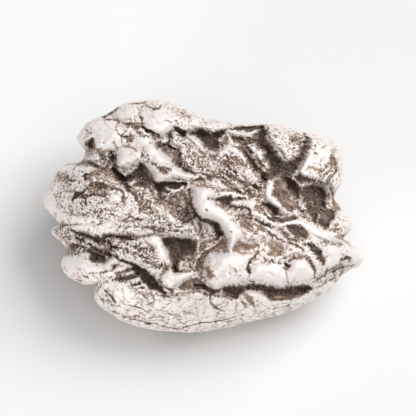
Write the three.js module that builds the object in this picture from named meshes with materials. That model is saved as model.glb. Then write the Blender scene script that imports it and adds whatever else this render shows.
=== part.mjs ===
// An iron meteorite: one lump of nickel-iron, 40 mm long, melted and scoured on its way down, then rusted in
// its hollows. It is one piece, so it is one closed solid. Its sculpted face looks up and leans a little to the
// front (-Y). The lump is a sphere of directions carried out to a lobed outline, with a relief of named ridges,
// slabs and chasms on its face, thumbprint hollows round its flank and back, and a flat on the underside that
// it rests on. Face coordinates are u to the right, v up and w out of the face.
import * as THREE from "three";

// ---- driving dimensions, in millimetres ----
const FACE_LEAN = THREE.MathUtils.degToRad(20); // how far the face leans from level towards the front
const FACE_RISE = 7.4; // the face's height above the plane of the outline
const BACK_DEPTH = 9.6; // the back's depth under that plane
const REST_DEPTH = 8.8; // the flat that the lump rests on, under the middle of the outline
const GRID = 28; // squares along each edge of the cube that the directions come from
const FACE_CROWDING = 0.45; // how much closer the grid lies on the face than on the back
const CUSHION_POWER = 3; // height falls as the square root of 1 - across ^ power, which makes a full cushion
const RELIEF_SPREAD = 0.55; // each point of the face takes the mean of the relief this far around it
const SPREAD_COUNT = 6; // and at this many places around it
const RELIEF_FADE = [-0.25, 0.1]; // the face's relief fades out between these heights on the unit sphere
const BACK_FADE = [0.02, 0.4]; // the thumbprints fade in between these depths behind the rim

const THUMBPRINTS = 84; // scooped hollows all round, before the ones on the face are left out
const THUMBPRINT_RADIUS = 3.9;
const THUMBPRINT_DEPTH = 1.25;
const THUMBPRINT_TOP = 0.1; // none lies higher than this on the unit sphere
const THUMBPRINT_SCATTER = 0.6; // radians that they stray from an even spiral
const SWELL_WAVE = 11; // the lump's slow swellings: wavelength and height
const SWELL_HEIGHT = 0.55;
// Three crossed waves of swelling, each as [direction, phase].
const SWELLS = [[[1, 0.6, 0], 1.3], [[0, 1, -0.5], 2.1], [[0.7, 0, 1], 4.2]];

// The outline that the face shows, as [right, up] from its middle, anticlockwise from the east tip.
const OUTLINE = [
  [20.4, -5.2], [19.8, -4.5], [18.6, -4.0], [17.3, -2.9], [18.3, -2.0], [18.6, -0.8], [18.0, 0.4],
  [17.2, 1.2], [16.3, 2.1], [16.5, 2.9], [17.3, 3.9], [17.6, 5.6], [17.5, 7.8], [17.0, 9.2], [15.7, 9.9],
  [13.4, 10.1], [10.4, 11.0], [7.8, 11.5], [5.2, 11.6], [2.0, 11.7], [-0.4, 12.8], [-2.9, 13.7],
  [-5.4, 14.5], [-7.6, 14.5], [-9.3, 13.9], [-10.9, 13.2], [-12.6, 12.2], [-14.2, 11.4], [-15.5, 10.4],
  [-15.9, 9.4], [-15.4, 8.6], [-14.7, 8.0], [-15.1, 6.9], [-15.7, 6.5], [-16.7, 6.5], [-18.0, 5.6],
  [-19.0, 4.0], [-20.2, 2.8], [-20.3, 1.6], [-19.2, 0.3], [-17.9, -0.9], [-17.4, -1.35], [-18.6, -1.6],
  [-19.1, -1.9], [-18.7, -2.5], [-17.7, -3.5], [-16.9, -4.4], [-17.5, -5.0], [-17.8, -6.1], [-17.1, -7.2],
  [-15.4, -8.1], [-13.8, -8.7], [-13.6, -9.8], [-13.3, -10.8], [-12.1, -12.0], [-10.4, -13.1],
  [-8.6, -13.8], [-5.9, -14.4], [-2.1, -14.6], [1.2, -14.4], [3.8, -13.6], [6.4, -12.9], [10.0, -12.2],
  [12.9, -11.1], [14.3, -10.3], [14.8, -9.8], [16.2, -9.0], [16.7, -8.1], [17.9, -7.2], [19.6, -6.4],
];

// The relief of the face, worked in this order: [name, rise, bevel, ...shapes]. A shape of [right, up] points
// is a patch with that outline, and one of [right, up, half width] points is a bar along them. The bevel is how
// far in from its edge a form reaches its full rise, and a rise under 0 is a hollow.
const RELIEF = [
  // the broad masses
  ["west slab", 1.05, 1.3, [[-21, 2], [-18.8, 6.4], [-15.3, 6.3], [-13, 5.9], [-11, 5.3], [-10.2, 4.4],
    [-9.7, 3.6], [-8.6, 3.6], [-7, 3.3], [-6.2, 2.2], [-5.4, 0.8], [-4.4, 0.7], [-3.6, -0.2], [-2.4, -0.9],
    [-1.0, -0.3], [-0.5, -1.4], [-0.7, -2.6], [-4.9, -2.4], [-8.4, -2.2], [-11.4, -2.1], [-13, -2.6],
    [-14.5, -2.2], [-16.5, -1.7], [-18, -0.9], [-20.5, 0]]],
  ["north-west mass", 1.4, 1.5, [[-16.5, 9.4], [-15.6, 11.2], [-12.5, 13], [-9, 15], [-5, 15.4], [-2, 14.5],
    [1, 13], [3.5, 12], [3.2, 10.8], [1.2, 10.2], [-0.5, 10.8], [-2.3, 10.4], [-3.6, 10.8], [-4.3, 10.1],
    [-5, 9.7], [-6.4, 10], [-6.1, 9], [-5.6, 8.2], [-4.6, 7.3], [-3.6, 6.2], [-2.4, 5.4], [-0.6, 4.9],
    [-1.8, 4.3], [-3.2, 4.5], [-5, 4.1], [-6.1, 4.3], [-6.5, 5.2], [-7.4, 6.4], [-8.4, 6.2], [-9.6, 6],
    [-10.2, 5], [-10.8, 5.6], [-10.8, 7.9], [-13.3, 8], [-14.5, 8.2], [-15.8, 8.6]]],
  ["south-east mass", 1.19, 1.6, [[-1.5, 3.5], [1, 4.4], [3.4, 3.2], [6.2, 2.2], [9, 0], [12, -0.4],
    [14.5, -1.4], [17, -2.6], [20.5, -4.5], [20, -6.2], [17, -6.2], [15.2, -7.2], [13.5, -8.4], [9.6, -8.8],
    [6, -8.3], [3, -8.7], [1.4, -9.1], [0.3, -8], [-0.3, -6], [0.6, -4.6], [2.6, -4.3], [3, -2.8],
    [2.4, -2], [1.4, -0.7], [-0.3, -0.4], [-1.2, 1]]],
  ["east boulder", 1.4, 2.0, [[13.4, 8.4], [12.7, 6.8], [11.9, 5.5], [12.6, 4.7], [15.8, 3.8], [16.3, 2.6],
    [19, 3], [19, 9], [16, 11], [13.2, 10.8]]],
  ["north-east block", 1.05, 1.0, [[8, 12.2], [8.1, 9.8], [8.7, 8.9], [9.6, 8.1], [10.1, 7.1], [10.6, 6.8],
    [11.2, 7.1], [11.7, 8.4], [12.4, 9.1], [12.9, 10], [12.4, 11.4], [10, 12]]],
  ["middle slab", 0.63, 0.9, [[-3.9, 10.2], [-2.2, 9.6], [-1.2, 9.9], [0.4, 8.2], [1.5, 7.6], [3.2, 9],
    [4.2, 8.5], [5.6, 6.4], [7.4, 4.2], [7.6, 2.4], [5.2, 2.4], [2.6, 4.1], [0, 4.6], [-1.6, 5.3],
    [-2.7, 6.1], [-3, 7.4], [-2.9, 8.3], [-4, 9]]],
  ["east knob", 0.91, 1.2, [[16.3, -0.1], [17.4, 0.8], [19.4, 0.2], [19.4, -2], [17.6, -2.9], [16.2, -2.2],
    [15.4, -1.6]]],
  ["south-west lobe", 0.98, 1.3, [[-18.5, -5], [-16.4, -4.9], [-15.2, -4.8], [-14.2, -5.5], [-12.8, -6],
    [-11.2, -5.2], [-10.6, -5.8], [-11.4, -7], [-10.2, -8.2], [-12.8, -9.6], [-16, -9], [-18.8, -7]]],
  ["lower slab", 0.77, 0.9, [[-11, -2.6], [-8.6, -3], [-7.2, -2.5], [-5.4, -2.5], [-5.1, -3.3], [-4, -4.6],
    [-4, -5.8], [-4.8, -6.6], [-5.5, -7.6], [-6.9, -6.8], [-8.4, -5.8], [-10.2, -5.4], [-11.4, -4.4],
    [-14, -3.4], [-13.4, -3], [-11.6, -3.4]]],
  ["south band", 0.56, 0.8, [[-14.5, -9.4], [-12, -8.3], [-9.4, -8.2], [-7.6, -8.9], [-5.3, -9.7],
    [-3.6, -9.4], [-1.2, -9], [0.8, -9.6], [2.4, -9.7], [4, -10.2], [5, -9.6], [6.4, -9.2], [8.2, -10.3],
    [11, -10.2], [13.6, -9.2], [16, -8], [18, -8.4], [12, -13], [4, -15], [-4, -16], [-12, -14]]],
  // smooth lumps and bars
  ["spine", 1.58, 0.95, [[0.1, 2.4, 1.1], [-0.4, 1.9, 1.15], [0.5, 0.6, 1.15], [1.8, 0.2, 1.0],
    [2.9, -0.6, 1.05], [3.2, -1.7, 0.95], [3.8, -2.5, 0.9], [3.4, -3.5, 0.45], [3.2, -4.3, 0.3]],
    [[-0.4, 2.5, 0.9], [1.2, 2.6, 0.55]]],
  ["spine foot", 0.6, 0.9, [[3.8, -1.6, 1.0], [5.0, -2.6, 0.8], [6.8, -2.5, 0.7]]],
  ["heel lump", 1.1, 1.4, [[0.2, -5.8], [1.7, -4.6], [4.2, -4.5], [6.3, -4.9], [5.5, -6], [5.6, -7.2],
    [5.4, -8], [3, -8.7], [1.3, -9], [0, -7.6]]],
  ["heel toe", 0.5, 0.8, [[1.2, -7.6, 1.0], [1.5, -8.2, 0.95]]],
  ["middle lump", 0.95, 1.0, [[5.9, -6], [8.5, -5.8], [9.6, -5.9], [10.2, -7.2], [10.3, -8.1], [8.6, -8.6],
    [5.4, -8], [5.8, -7.2]]],
  ["end lump", 1.2, 1.4, [[10.4, -5.9], [11.8, -5.2], [13.3, -5.9], [13.9, -7.5], [13, -8.3], [10.5, -8.1],
    [10.4, -7.2]]],
  ["crown lump", 0.6, 1.3, [[-13, 10.4, 1.3], [-11.8, 10.1, 1.3]]],
  ["crown shoulder", 0.52, 0.9, [[-10.5, 12.4, 0.8], [-8.6, 12.8, 0.9]]],
  ["north slab", 0.6, 0.7, [[-7.5, 12.9], [-4.4, 13.4], [-3.6, 11.4], [-4.3, 10.2], [-5.2, 9.8],
    [-7.4, 10.6]]],
  ["north rim", 0.52, 0.8, [[-2.6, 12.1, 1.1], [0.4, 11.4, 0.8], [2.6, 10.9, 0.4]]],
  ["crown middle", 0.52, 0.9, [[-8.2, 9.3, 0.7], [-7.1, 8.6, 1.2]]],
  ["crown drip", 0.68, 0.8, [[-9.8, 7.5, 1.0], [-8.7, 7.3, 1.0]], [[-10.1, 6.8, 0.6], [-10.3, 5.2, 0.35]]],
  ["crown bar", 0.6, 0.7, [[-6.6, 8.0, 0.9], [-5, 6.9, 0.9], [-3.6, 5.8, 0.7], [-1.8, 5.1, 0.45]]],
  ["ear", 0.45, 0.5, [[-15.2, 10.2, 0.5], [-15.3, 9.2, 0.55]]],
  ["fork bar", 0.98, 0.5, [[8.8, 4, 0.4], [8.3, 3, 0.5], [8, 2.1, 0.45], [8.9, 1.5, 0.45], [9.8, 0.8, 0.5],
    [10.5, 0.1, 0.4]]],
  ["arch bar", 0.68, 0.5, [[9.9, -1, 0.3], [12, -0.6, 0.4], [13.6, -1.2, 0.6], [16.6, -2.5, 0.5]]],
  ["east bar", 0.6, 0.4, [[6, 0.3, 0.35], [8, -0.8, 0.4], [9.6, -1.4, 0.35], [10.7, -2.5, 0.3]]],
  ["east block", 0.52, 0.8, [[14.9, -4], [17, -3.8], [17.1, -6], [15.6, -6.6], [15.1, -5.4]]],
  ["crest", 0.75, 0.6, [[2.7, 8.3, 0.45], [3.9, 8.4, 0.5], [4.9, 7.2, 0.45], [5.8, 5.9, 0.4],
    [6.7, 4.8, 0.4], [7.4, 4, 0.3]]],
  ["slab edge", 0.6, 0.6, [[-1.7, 9.9, 0.4], [-0.6, 8.9, 0.5], [0.4, 7.8, 0.45], [1.6, 6.6, 0.4]]],
  ["upper flake", 0.6, 0.35, [[0.4, 4.1, 0.3], [1.6, 4.1, 0.35], [3.3, 3.1, 0.3]]],
  ["slab cheek", 0.75, 0.7, [[-7.4, -2.6], [-6, -2.4], [-5.2, -2.9], [-4.7, -3.7], [-4, -5], [-4.5, -5.7],
    [-5.6, -4.4], [-7.3, -3.4]]],
  ["white wedge", 0.9, 0.5, [[-5.3, -7.8], [-4.7, -7.2], [-2.8, -7.1], [-1.1, -7.1], [-2.2, -7.9],
    [-3.1, -8.5], [-3.9, -9.3], [-4.5, -9.2]]],
  ["band lump west", 0.45, 0.5, [[-2.4, -9.7, 0.5], [0.2, -9.9, 0.55]]],
  ["band lump east", 0.52, 0.6, [[6.4, -9.8, 0.6], [7.3, -10.1, 0.6]]],
  ["west knob", 0.38, 0.6, [[-11.4, 2.4, 0.5], [-10.6, 2.3, 0.5]]],
  // hollows and chasms
  ["north-east chasm", -2.3, 0.9, [[6.6, 10.3], [7.6, 11.1], [8.1, 9.7], [8.9, 8.6], [9.7, 7.4],
    [10.2, 6.8], [11.1, 6.9], [11.9, 8.5], [12.9, 9.8], [13.4, 9.3], [13.4, 8], [12.6, 6.8], [11.6, 5.5],
    [10.9, 4.7], [11.6, 3.9], [12.3, 3.5], [12.1, 2], [10.8, 3.1], [10.2, 4.2], [9.6, 4.8], [7.4, 4.3],
    [8.3, 6.2], [7.4, 6.8], [7.5, 7.9], [6.5, 8.6]], [[12.1, 3.5], [14, 4], [15.3, 3.7], [16, 2.8],
    [15.8, 1.5], [14.8, 0], [14.2, -0.8], [13.4, -0.5], [13.1, 0.8], [11.8, 2.6]]],
  ["north chasm", -1.8, 0.8, [[-3.6, 10.7], [-1.6, 10.4], [-0.6, 10.8], [1.2, 10.2], [2.6, 10.5], [2, 9.3],
    [1.7, 8.1], [1, 8.2], [0.1, 8.6], [-0.8, 10], [-2.2, 9.9], [-3.4, 10.2]]],
  ["crown valley", -1.6, 0.8, [[-10.9, 4.6], [-9.8, 4.9], [-9, 5.3], [-8.3, 5.9], [-7.9, 6.8], [-7.4, 6.4],
    [-7, 5.7], [-6.5, 5], [-6.3, 4.3], [-5.8, 4], [-2.2, 4], [-2, 3.6], [-3.5, 3], [-5.2, 2.9], [-6.3, 3.6],
    [-7, 4.1], [-8.7, 4.2], [-10.4, 4.1]], [[-14.5, 6.7, 0.3], [-12.2, 5.7, 0.4], [-11, 5.2, 0.5],
    [-9.7, 4, 0.5]]],
  ["crown apron", -0.68, 1.2, [[-14.8, 8], [-11.4, 8], [-10.8, 7.2], [-10.6, 5.4], [-12.6, 6.2],
    [-14.2, 6.8]]],
  ["brown channel", -1.0, 0.6, [[-6.4, 9], [-5.9, 9.8], [-5, 9.4], [-4.3, 9], [-3.2, 8.3], [-2.8, 7.2],
    [-2, 6.6], [-1.6, 5.6], [-2.6, 5.4], [-3.5, 6.2], [-4.3, 7.1], [-5.4, 8.1]]],
  ["brown basin", -1.5, 1.1, [[-6, 3], [-3.5, 2.8], [-1.8, 3], [-1.4, 1.6], [-0.9, 0.4], [-1.1, -0.3],
    [-2.3, -0.9], [-3.4, -0.4], [-4.2, 0.5], [-5.3, 0.8], [-6, 1.8]]],
  ["crescent", -1.44, 0.7, [[-0.9, 0, 0.3], [0.2, -1, 0.5], [1.3, -1.3, 0.7], [1.8, -2.2, 0.6]]],
  ["centre pit", -2.28, 0.9, [[-5.1, -2.7], [-1.4, -2.75], [-0.8, -3.4], [-1, -4.4], [-2.3, -5.1],
    [-2.9, -5.5], [-3.1, -6.9], [-4, -6.9], [-4.1, -5.2], [-4.7, -3.9]]],
  ["funnel", -0.98, 1.4, [[-1, -2.9], [2.9, -2.9], [2.5, -4.3], [0.6, -4.8], [-0.3, -6.2], [0.2, -7.9],
    [-1.2, -7.4], [-2.4, -5.4]]],
  ["south-west chasm", -2.04, 0.8, [[-8.5, -5.9], [-7.5, -6.3], [-6, -7.6], [-5.2, -8.4], [-4.7, -9.5],
    [-5.9, -9.4], [-7.6, -9], [-8.3, -7.7], [-8.9, -7.2]]],
  ["lobe channel", -1.27, 0.5, [[-16.3, -2, 0.25], [-14.6, -2.7, 0.45], [-12.8, -3, 0.5],
    [-11.2, -3.2, 0.4], [-10, -3.8, 0.2]]],
  ["lobe pit", -1.42, 0.6, [[-14.3, -4.1], [-13, -4], [-12.1, -4.8], [-12.8, -5.9], [-14.1, -5.2]]],
  ["slab channel", -0.9, 0.4, [[-12, -5, 0.25], [-10.6, -5.4, 0.35], [-9.2, -5.9, 0.3], [-8.2, -6.2, 0.4]]],
  ["south gap", -1.92, 0.7, [[1.2, -9.1], [2, -9], [4.2, -8.6], [6.5, -8.4], [9, -8.8], [10.8, -8.6],
    [13.2, -8.5], [13.9, -9.2], [12.9, -9.7], [10.8, -10.35], [8.5, -10.6], [7, -9.5], [5.2, -9.3],
    [4, -10.2], [2.8, -9.8], [1.5, -9.5]], [[-1.2, -8.5, 0.3], [0.3, -8.9, 0.3], [1.4, -9.4, 0.2]]],
  ["wedge recess", -0.9, 0.5, [[-3.2, -8.7], [-1, -7.8], [0.2, -8.3], [-1, -9], [-2.5, -9]]],
  ["spine hollow", -1.05, 0.4, [[1.8, 1.8, 0.3], [2.8, 1.7, 0.5], [4.2, 1.6, 0.4]]],
  ["fork hole", -1.42, 0.5, [[7.6, 1.3, 0.3], [8.6, 0.6, 0.5], [9, 0.3, 0.4]]],
  ["fork facet", -0.83, 0.9, [[9, 4.3], [10.2, 4.3], [12, 2.4], [12.2, 1], [10.8, 0.3], [10, 1.2],
    [8.8, 2.2]]],
  ["arch hollow", -0.9, 0.6, [[10.6, -1.1], [12.4, -1.4], [13, -2.2], [12.7, -3], [11.4, -2.9],
    [10.4, -1.8]]],
  ["strip hollow", -0.98, 0.5, [[13, -3.8, 0.35], [14.2, -4.4, 0.6], [14.7, -5.6, 0.5]]],
  ["knob hollow", -0.98, 0.7, [[13.9, -0.8], [14.8, 0.1], [15.4, 0.6], [16.2, 0.6], [16, -0.4],
    [15.2, -1.7], [14.4, -1.2]]],
  ["shelf facet", -0.68, 0.6, [[8, -2.8], [9.8, -3.3], [9.9, -4.9], [7.9, -4.9]]],
  ["shelf groove", -0.6, 0.4, [[3.9, -3.9, 0.3], [5.4, -3.6, 0.35], [6.8, -3.5, 0.25]]],
  ["crest recess", -0.68, 0.6, [[2.9, 7.5], [4.2, 7.6], [4.7, 6.5], [3.9, 5.8], [2.5, 6], [2.1, 6.6]]],
  ["crest slope", -0.68, 0.8, [[4.9, 8.4], [7, 8.4], [8.2, 6], [8, 4.6], [6.9, 5.2], [5.6, 7]]],
  ["flake hollow", -0.98, 0.5, [[3.9, 9.6], [6.6, 9.8], [6.6, 8.8], [4.8, 8.7]]],
  ["west step", -0.68, 0.4, [[-15, 5], [-12.5, 5.7], [-11, 5.1], [-11.4, 4.4], [-13.8, 4.4], [-14.7, 4.1]]],
  ["west recess", -0.68, 0.4, [[-14.3, 4], [-12.2, 4], [-11.9, 2.7], [-13, 2.1], [-15.4, 1.9], [-16.2, 2.3],
    [-15.6, 2.9], [-14.4, 3.1]]],
  ["ear hole", -1.12, 0.5, [[-14.1, 9.9], [-13.5, 9.2], [-13.4, 8.3], [-14.6, 8.2], [-15, 9]]],
  ["crown pit", -0.68, 0.4, [[-10.1, 9.7], [-9.2, 8.7], [-8.4, 9.1], [-8.5, 9.9], [-9.2, 10.2]]],
  ["crown shelf", -0.52, 0.4, [[-10.4, 11.4], [-7.8, 11.7], [-7.9, 10.7], [-9.6, 10.7]]],
  ["plate step", -0.45, 0.4, [[-9.7, 3.8], [-8.6, 2], [-7.9, 1.1], [-8.3, 0.1], [-5.6, -0.2], [-5.6, 1],
    [-6.6, 2.8], [-7.6, 3.5]]],
];

// ---- small helpers ----
const clamp01 = (x) => Math.min(1, Math.max(0, x));
const smooth = (low, high, x) => {
  const t = clamp01((x - low) / (high - low));
  return t * t * (3 - 2 * t);
};
// Steep at the edge and level where the full rise is reached.
const quarterRound = (t) => Math.sqrt(1 - (1 - t) ** 2);

// The outline as sorted [angle, radius] pairs, and the radius between them.
const rim = OUTLINE.map(([u, v]) => [Math.atan2(v, u), Math.hypot(u, v)]).sort((a, b) => a[0] - b[0]);

function rimRadius(angle) {
  const next = rim.findIndex(([a]) => a > angle);
  const [a1, r1] = rim[next < 0 ? 0 : next];
  const [a0, r0] = rim[next <= 0 ? rim.length - 1 : next - 1];
  const span = (a1 - a0 + 2 * Math.PI) % (2 * Math.PI);
  const along = (angle - a0 + 2 * Math.PI) % (2 * Math.PI);
  return r0 + (r1 - r0) * (along / span);
}

// Nearest point of the segment a-b to (u, v): its distance and how far along the segment it lies.
function toSegment(u, v, a, b) {
  const [du, dv] = [b[0] - a[0], b[1] - a[1]];
  const t = clamp01(((u - a[0]) * du + (v - a[1]) * dv) / (du * du + dv * dv));
  return [Math.hypot(u - a[0] - t * du, v - a[1] - t * dv), t];
}

// How far (u, v) lies inside a bar: the local half width less the distance to its line.
function insideBar(u, v, points) {
  let most = -Infinity;
  for (let i = 1; i < points.length; i++) {
    const [distance, t] = toSegment(u, v, points[i - 1], points[i]);
    most = Math.max(most, points[i - 1][2] + t * (points[i][2] - points[i - 1][2]) - distance);
  }
  return most;
}

// How far (u, v) lies inside a patch: the distance to its outline, under 0 outside it.
function insidePatch(u, v, points) {
  let nearest = Infinity;
  let inside = false;
  points.forEach((a, i) => {
    const b = points[(i + 1) % points.length];
    nearest = Math.min(nearest, toSegment(u, v, a, b)[0]);
    if (a[1] > v !== b[1] > v && u < a[0] + ((v - a[1]) / (b[1] - a[1])) * (b[0] - a[0])) inside = !inside;
  });
  return inside ? nearest : -nearest;
}

// Each form's rise, bevel and shapes, with the box that each shape lies in.
const forms = RELIEF.map(([, rise, bevel, ...shapes]) => {
  const parts = shapes.map((points) => {
    const reach = Math.max(...points.map((point) => point[2] ?? 0));
    const box = new THREE.Box2().setFromPoints(points.map(([u, v]) => new THREE.Vector2(u, v)));
    const inside = points[0].length === 3 ? insideBar : insidePatch;
    return { points, box: box.expandByScalar(reach), inside };
  });
  return { rise, bevel, parts };
});

// The relief at one point of the face: every form in turn adds its rise, rounded over its bevel.
function reliefAt(u, v) {
  const place = new THREE.Vector2(u, v);
  let height = 0;
  for (const { rise, bevel, parts } of forms) {
    let depth = 0;
    for (const { points, box, inside } of parts) {
      if (box.containsPoint(place)) depth = Math.max(depth, inside(u, v, points));
    }
    height += rise * quarterRound(clamp01(depth / bevel));
  }
  return height;
}

// The relief averaged over a point and its neighbours, so that the coarse grid carries no needles.
function faceRelief(u, v) {
  let sum = reliefAt(u, v);
  for (let i = 0; i < SPREAD_COUNT; i++) {
    const turn = (2 * Math.PI * i) / SPREAD_COUNT;
    sum += reliefAt(u + RELIEF_SPREAD * Math.cos(turn), v + RELIEF_SPREAD * Math.sin(turn));
  }
  return sum / (SPREAD_COUNT + 1);
}

// The plain lump under the relief, for a direction on the unit sphere (w out of the face).
function plainLump(direction) {
  const polar = Math.acos(direction.z);
  const bent = polar - FACE_CROWDING * Math.sin(polar);
  const [across, out] = [Math.sin(bent), Math.cos(bent)];
  const angle = Math.atan2(direction.y, direction.x);
  const reach = rimRadius(angle) * across;
  const thickness = Math.sqrt(Math.max(0, 1 - across ** CUSHION_POWER)) * (out > 0 ? FACE_RISE : -BACK_DEPTH);
  return { point: new THREE.Vector3(Math.cos(angle) * reach, Math.sin(angle) * reach, thickness), out };
}

// Thumbprint hollows: evenly spread directions on a golden spiral, kept off the face.
const thumbprints = [];
for (let i = 0; i < THUMBPRINTS; i++) {
  const z = 1 - (2 * i + 1) / THUMBPRINTS;
  const turn = i * Math.PI * (3 - Math.sqrt(5)) + THUMBPRINT_SCATTER * Math.sin(7 * i);
  const across = Math.sqrt(1 - z * z);
  const { point, out } = plainLump(new THREE.Vector3(Math.cos(turn) * across, Math.sin(turn) * across, z));
  if (out < THUMBPRINT_TOP) thumbprints.push(point);
}

function thumbprintDepth(point) {
  const nearest = Math.min(...thumbprints.map((centre) => centre.distanceTo(point)));
  return THUMBPRINT_DEPTH * Math.max(0, 1 - (nearest / THUMBPRINT_RADIUS) ** 2);
}

function swell(point) {
  const waves = SWELLS.map(([along, phase]) => {
    const distance = point.dot(new THREE.Vector3(...along));
    return Math.sin((2 * Math.PI * distance) / SWELL_WAVE + phase);
  });
  return (SWELL_HEIGHT * waves.reduce((sum, wave) => sum + wave)) / SWELLS.length;
}

// The surface in one direction: the plain lump, the face's relief along w, and the hollows of flank and back.
function surfacePoint(direction) {
  const { point, out } = plainLump(direction);
  const swelling = swell(point);
  const relief = smooth(...RELIEF_FADE, out) * (faceRelief(point.x, point.y) + swelling);
  const inward = smooth(...BACK_FADE, -out) * (thumbprintDepth(point) + swelling + SWELL_HEIGHT);
  return point.setLength(point.length() - inward).add(new THREE.Vector3(0, 0, relief));
}

// ---- the solid ----
function meteoriteGeometry() {
  const geometry = new THREE.BoxGeometry(2, 2, 2, GRID, GRID, GRID);
  const position = geometry.getAttribute("position");
  const direction = new THREE.Vector3();
  for (let i = 0; i < position.count; i++) {
    direction.fromBufferAttribute(position, i);
    // The tangent evens the squares out over the sphere.
    const even = direction.toArray().map((x) => Math.tan((x * Math.PI) / 4));
    const point = surfacePoint(direction.fromArray(even).normalize());
    position.setXYZ(i, point.x, point.y, point.z);
  }
  geometry.deleteAttribute("normal");
  geometry.deleteAttribute("uv");
  geometry.rotateX(FACE_LEAN);
  for (let i = 0; i < position.count; i++) position.setZ(i, Math.max(position.getZ(i), -REST_DEPTH));
  geometry.computeBoundingBox();
  const middle = geometry.boundingBox.getCenter(new THREE.Vector3());
  return geometry.translate(-middle.x, -middle.y, REST_DEPTH);
}

const nickelIron = new THREE.MeshStandardMaterial({ color: 0x9a9088, roughness: 0.5, metalness: 0.8 });
const meteorite = new THREE.Mesh(meteoriteGeometry(), nickelIron);
meteorite.name = "iron_meteorite";

const group = new THREE.Group();
group.add(meteorite);
export default group;
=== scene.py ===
# %% [markdown]
# # An iron meteorite, from one sheet of numbers
#
# An iron meteorite is a single lump of nickel-iron. The air melted and scoured it on its way down, which
# left smooth swollen ridges with deep chasms between them, and since then its hollows have rusted while its
# high places were rubbed bright. This lesson builds the lump as one closed surface in numpy, measures how
# far each point of it stands out or lies sunk, and lets those measures drive a single procedural metal.

# %% Load the frame
import math
from functools import partial

import bpy
import numpy as np
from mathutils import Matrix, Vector


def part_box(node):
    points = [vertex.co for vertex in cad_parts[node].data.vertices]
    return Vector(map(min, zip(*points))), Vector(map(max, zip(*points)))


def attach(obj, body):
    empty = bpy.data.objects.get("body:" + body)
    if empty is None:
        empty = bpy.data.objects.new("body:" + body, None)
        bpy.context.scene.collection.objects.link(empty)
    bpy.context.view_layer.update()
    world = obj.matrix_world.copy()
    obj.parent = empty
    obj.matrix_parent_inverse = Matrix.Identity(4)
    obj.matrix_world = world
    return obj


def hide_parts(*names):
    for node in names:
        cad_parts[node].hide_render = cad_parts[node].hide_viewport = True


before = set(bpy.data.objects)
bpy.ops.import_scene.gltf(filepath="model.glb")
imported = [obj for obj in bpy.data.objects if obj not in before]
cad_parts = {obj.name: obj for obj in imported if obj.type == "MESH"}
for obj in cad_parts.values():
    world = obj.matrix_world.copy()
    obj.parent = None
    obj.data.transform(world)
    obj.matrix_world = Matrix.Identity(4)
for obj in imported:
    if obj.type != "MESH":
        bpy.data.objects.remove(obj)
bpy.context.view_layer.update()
NODE = "iron_meteorite"
print("nodes on the frame:", list(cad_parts))

# %% [markdown]
# ## The face's own plane
#
# Everything on the sculpted face is laid out in the plane that the face looks along: `u` to the right, `v`
# up and `w` out towards the eye, in millimetres. The lump rests with that face looking up and leaning a
# little to the front, so one rotation about X takes face coordinates to the frame's. Sizes stay in
# millimetres until the mesh is made.

# %% Driving sizes
MM = 0.001
FACE_LEAN = math.radians(20)  # how far the face leans from level towards the front
FACE_RISE = 7.4  # the face's height above the plane of the outline
BACK_DEPTH = 9.6  # the back's depth under that plane
REST_DEPTH = 8.8  # the flat that the lump rests on, under the middle of the outline


def to_frame(points):
    """Face coordinates to the frame's: a turn about X by the lean, so that w ends up mostly along Z."""
    u, v, w = points.T
    across, up = math.cos(FACE_LEAN), math.sin(FACE_LEAN)
    return np.column_stack([u, v * across - w * up, v * up + w * across])


print("the face looks along", to_frame(np.array([(0, 0, 1)]))[0].round(3))

# %% [markdown]
# ## Directions over a cube
#
# A globe's grid pinches at its poles, and one pole would sit in the middle of the face. Six square grids,
# one for each side of a cube, pinch nowhere: bent outwards they become a sphere of almost even squares. The
# corners that the six grids share are merged by their whole-number places on the cube, which is exact where
# rounding would not be.

# %% The sphere of directions
GRID = 127  # squares along each edge of the cube


def cube_sphere(squares):
    """Unit directions and quads: integer points on a cube's six faces, bent by tan to even spacing."""
    i, j = np.meshgrid(np.arange(squares + 1), np.arange(squares + 1), indexing="ij")
    low, high = np.zeros_like(i), np.full_like(i, squares)
    sides = [(high, i, j), (low, j, i), (j, high, i), (i, low, j), (i, j, high), (j, i, low)]
    lattice = np.stack([np.stack(side, axis=-1) for side in sides])
    step = squares + 1
    keys = (lattice[..., 0] * step + lattice[..., 1]) * step + lattice[..., 2]
    unique, index = np.unique(keys.ravel(), return_inverse=True)
    index = index.reshape(keys.shape)
    corners = np.stack([unique // step**2, unique // step % step, unique % step], axis=-1)
    bent = np.tan((2 * corners / squares - 1) * math.pi / 4)
    around = [index[:, :-1, :-1], index[:, 1:, :-1], index[:, 1:, 1:], index[:, :-1, 1:]]
    return bent / np.linalg.norm(bent, axis=1, keepdims=True), np.stack(around, axis=-1).reshape(-1, 4)


directions, quads = cube_sphere(GRID)
print("directions:", len(directions), "quads:", len(quads))

# %% [markdown]
# ## Noise that repeats from run to run
#
# Two kinds of noise give the iron its irregular parts. Both hash whole-number cells, so the same point
# always gets the same value. The first is gradient noise, which swells and dips smoothly, and is used to
# bend edges and to roughen slopes.

# %% Gradient noise
SLOPE_SEED = 101  # added to the seed for the second number that each corner's slope needs
NOISE_GAIN = 1.7  # brings the blended slopes up to a range of about -1 to 1
LAYER_SHARE = 0.55  # the height of each finer layer beside the one before it


def hashed(cells, seed):
    """A number from 0 to 1 for each integer cell: its indices mixed by large odd multipliers and shifts."""
    mixed = (cells[..., 0] * 73856093) ^ (cells[..., 1] * 19349663) ^ (cells[..., 2] * 83492791)
    mixed = mixed ^ (seed * 2654435761)
    mixed = (mixed ^ (mixed >> 13)) * 1274126177 & 0x7FFFFFFF
    mixed = (mixed ^ (mixed >> 16)) * 668265263 & 0x7FFFFFFF
    return ((mixed ^ (mixed >> 11)) & 0xFFFFF) / float(0x100000)


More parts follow.
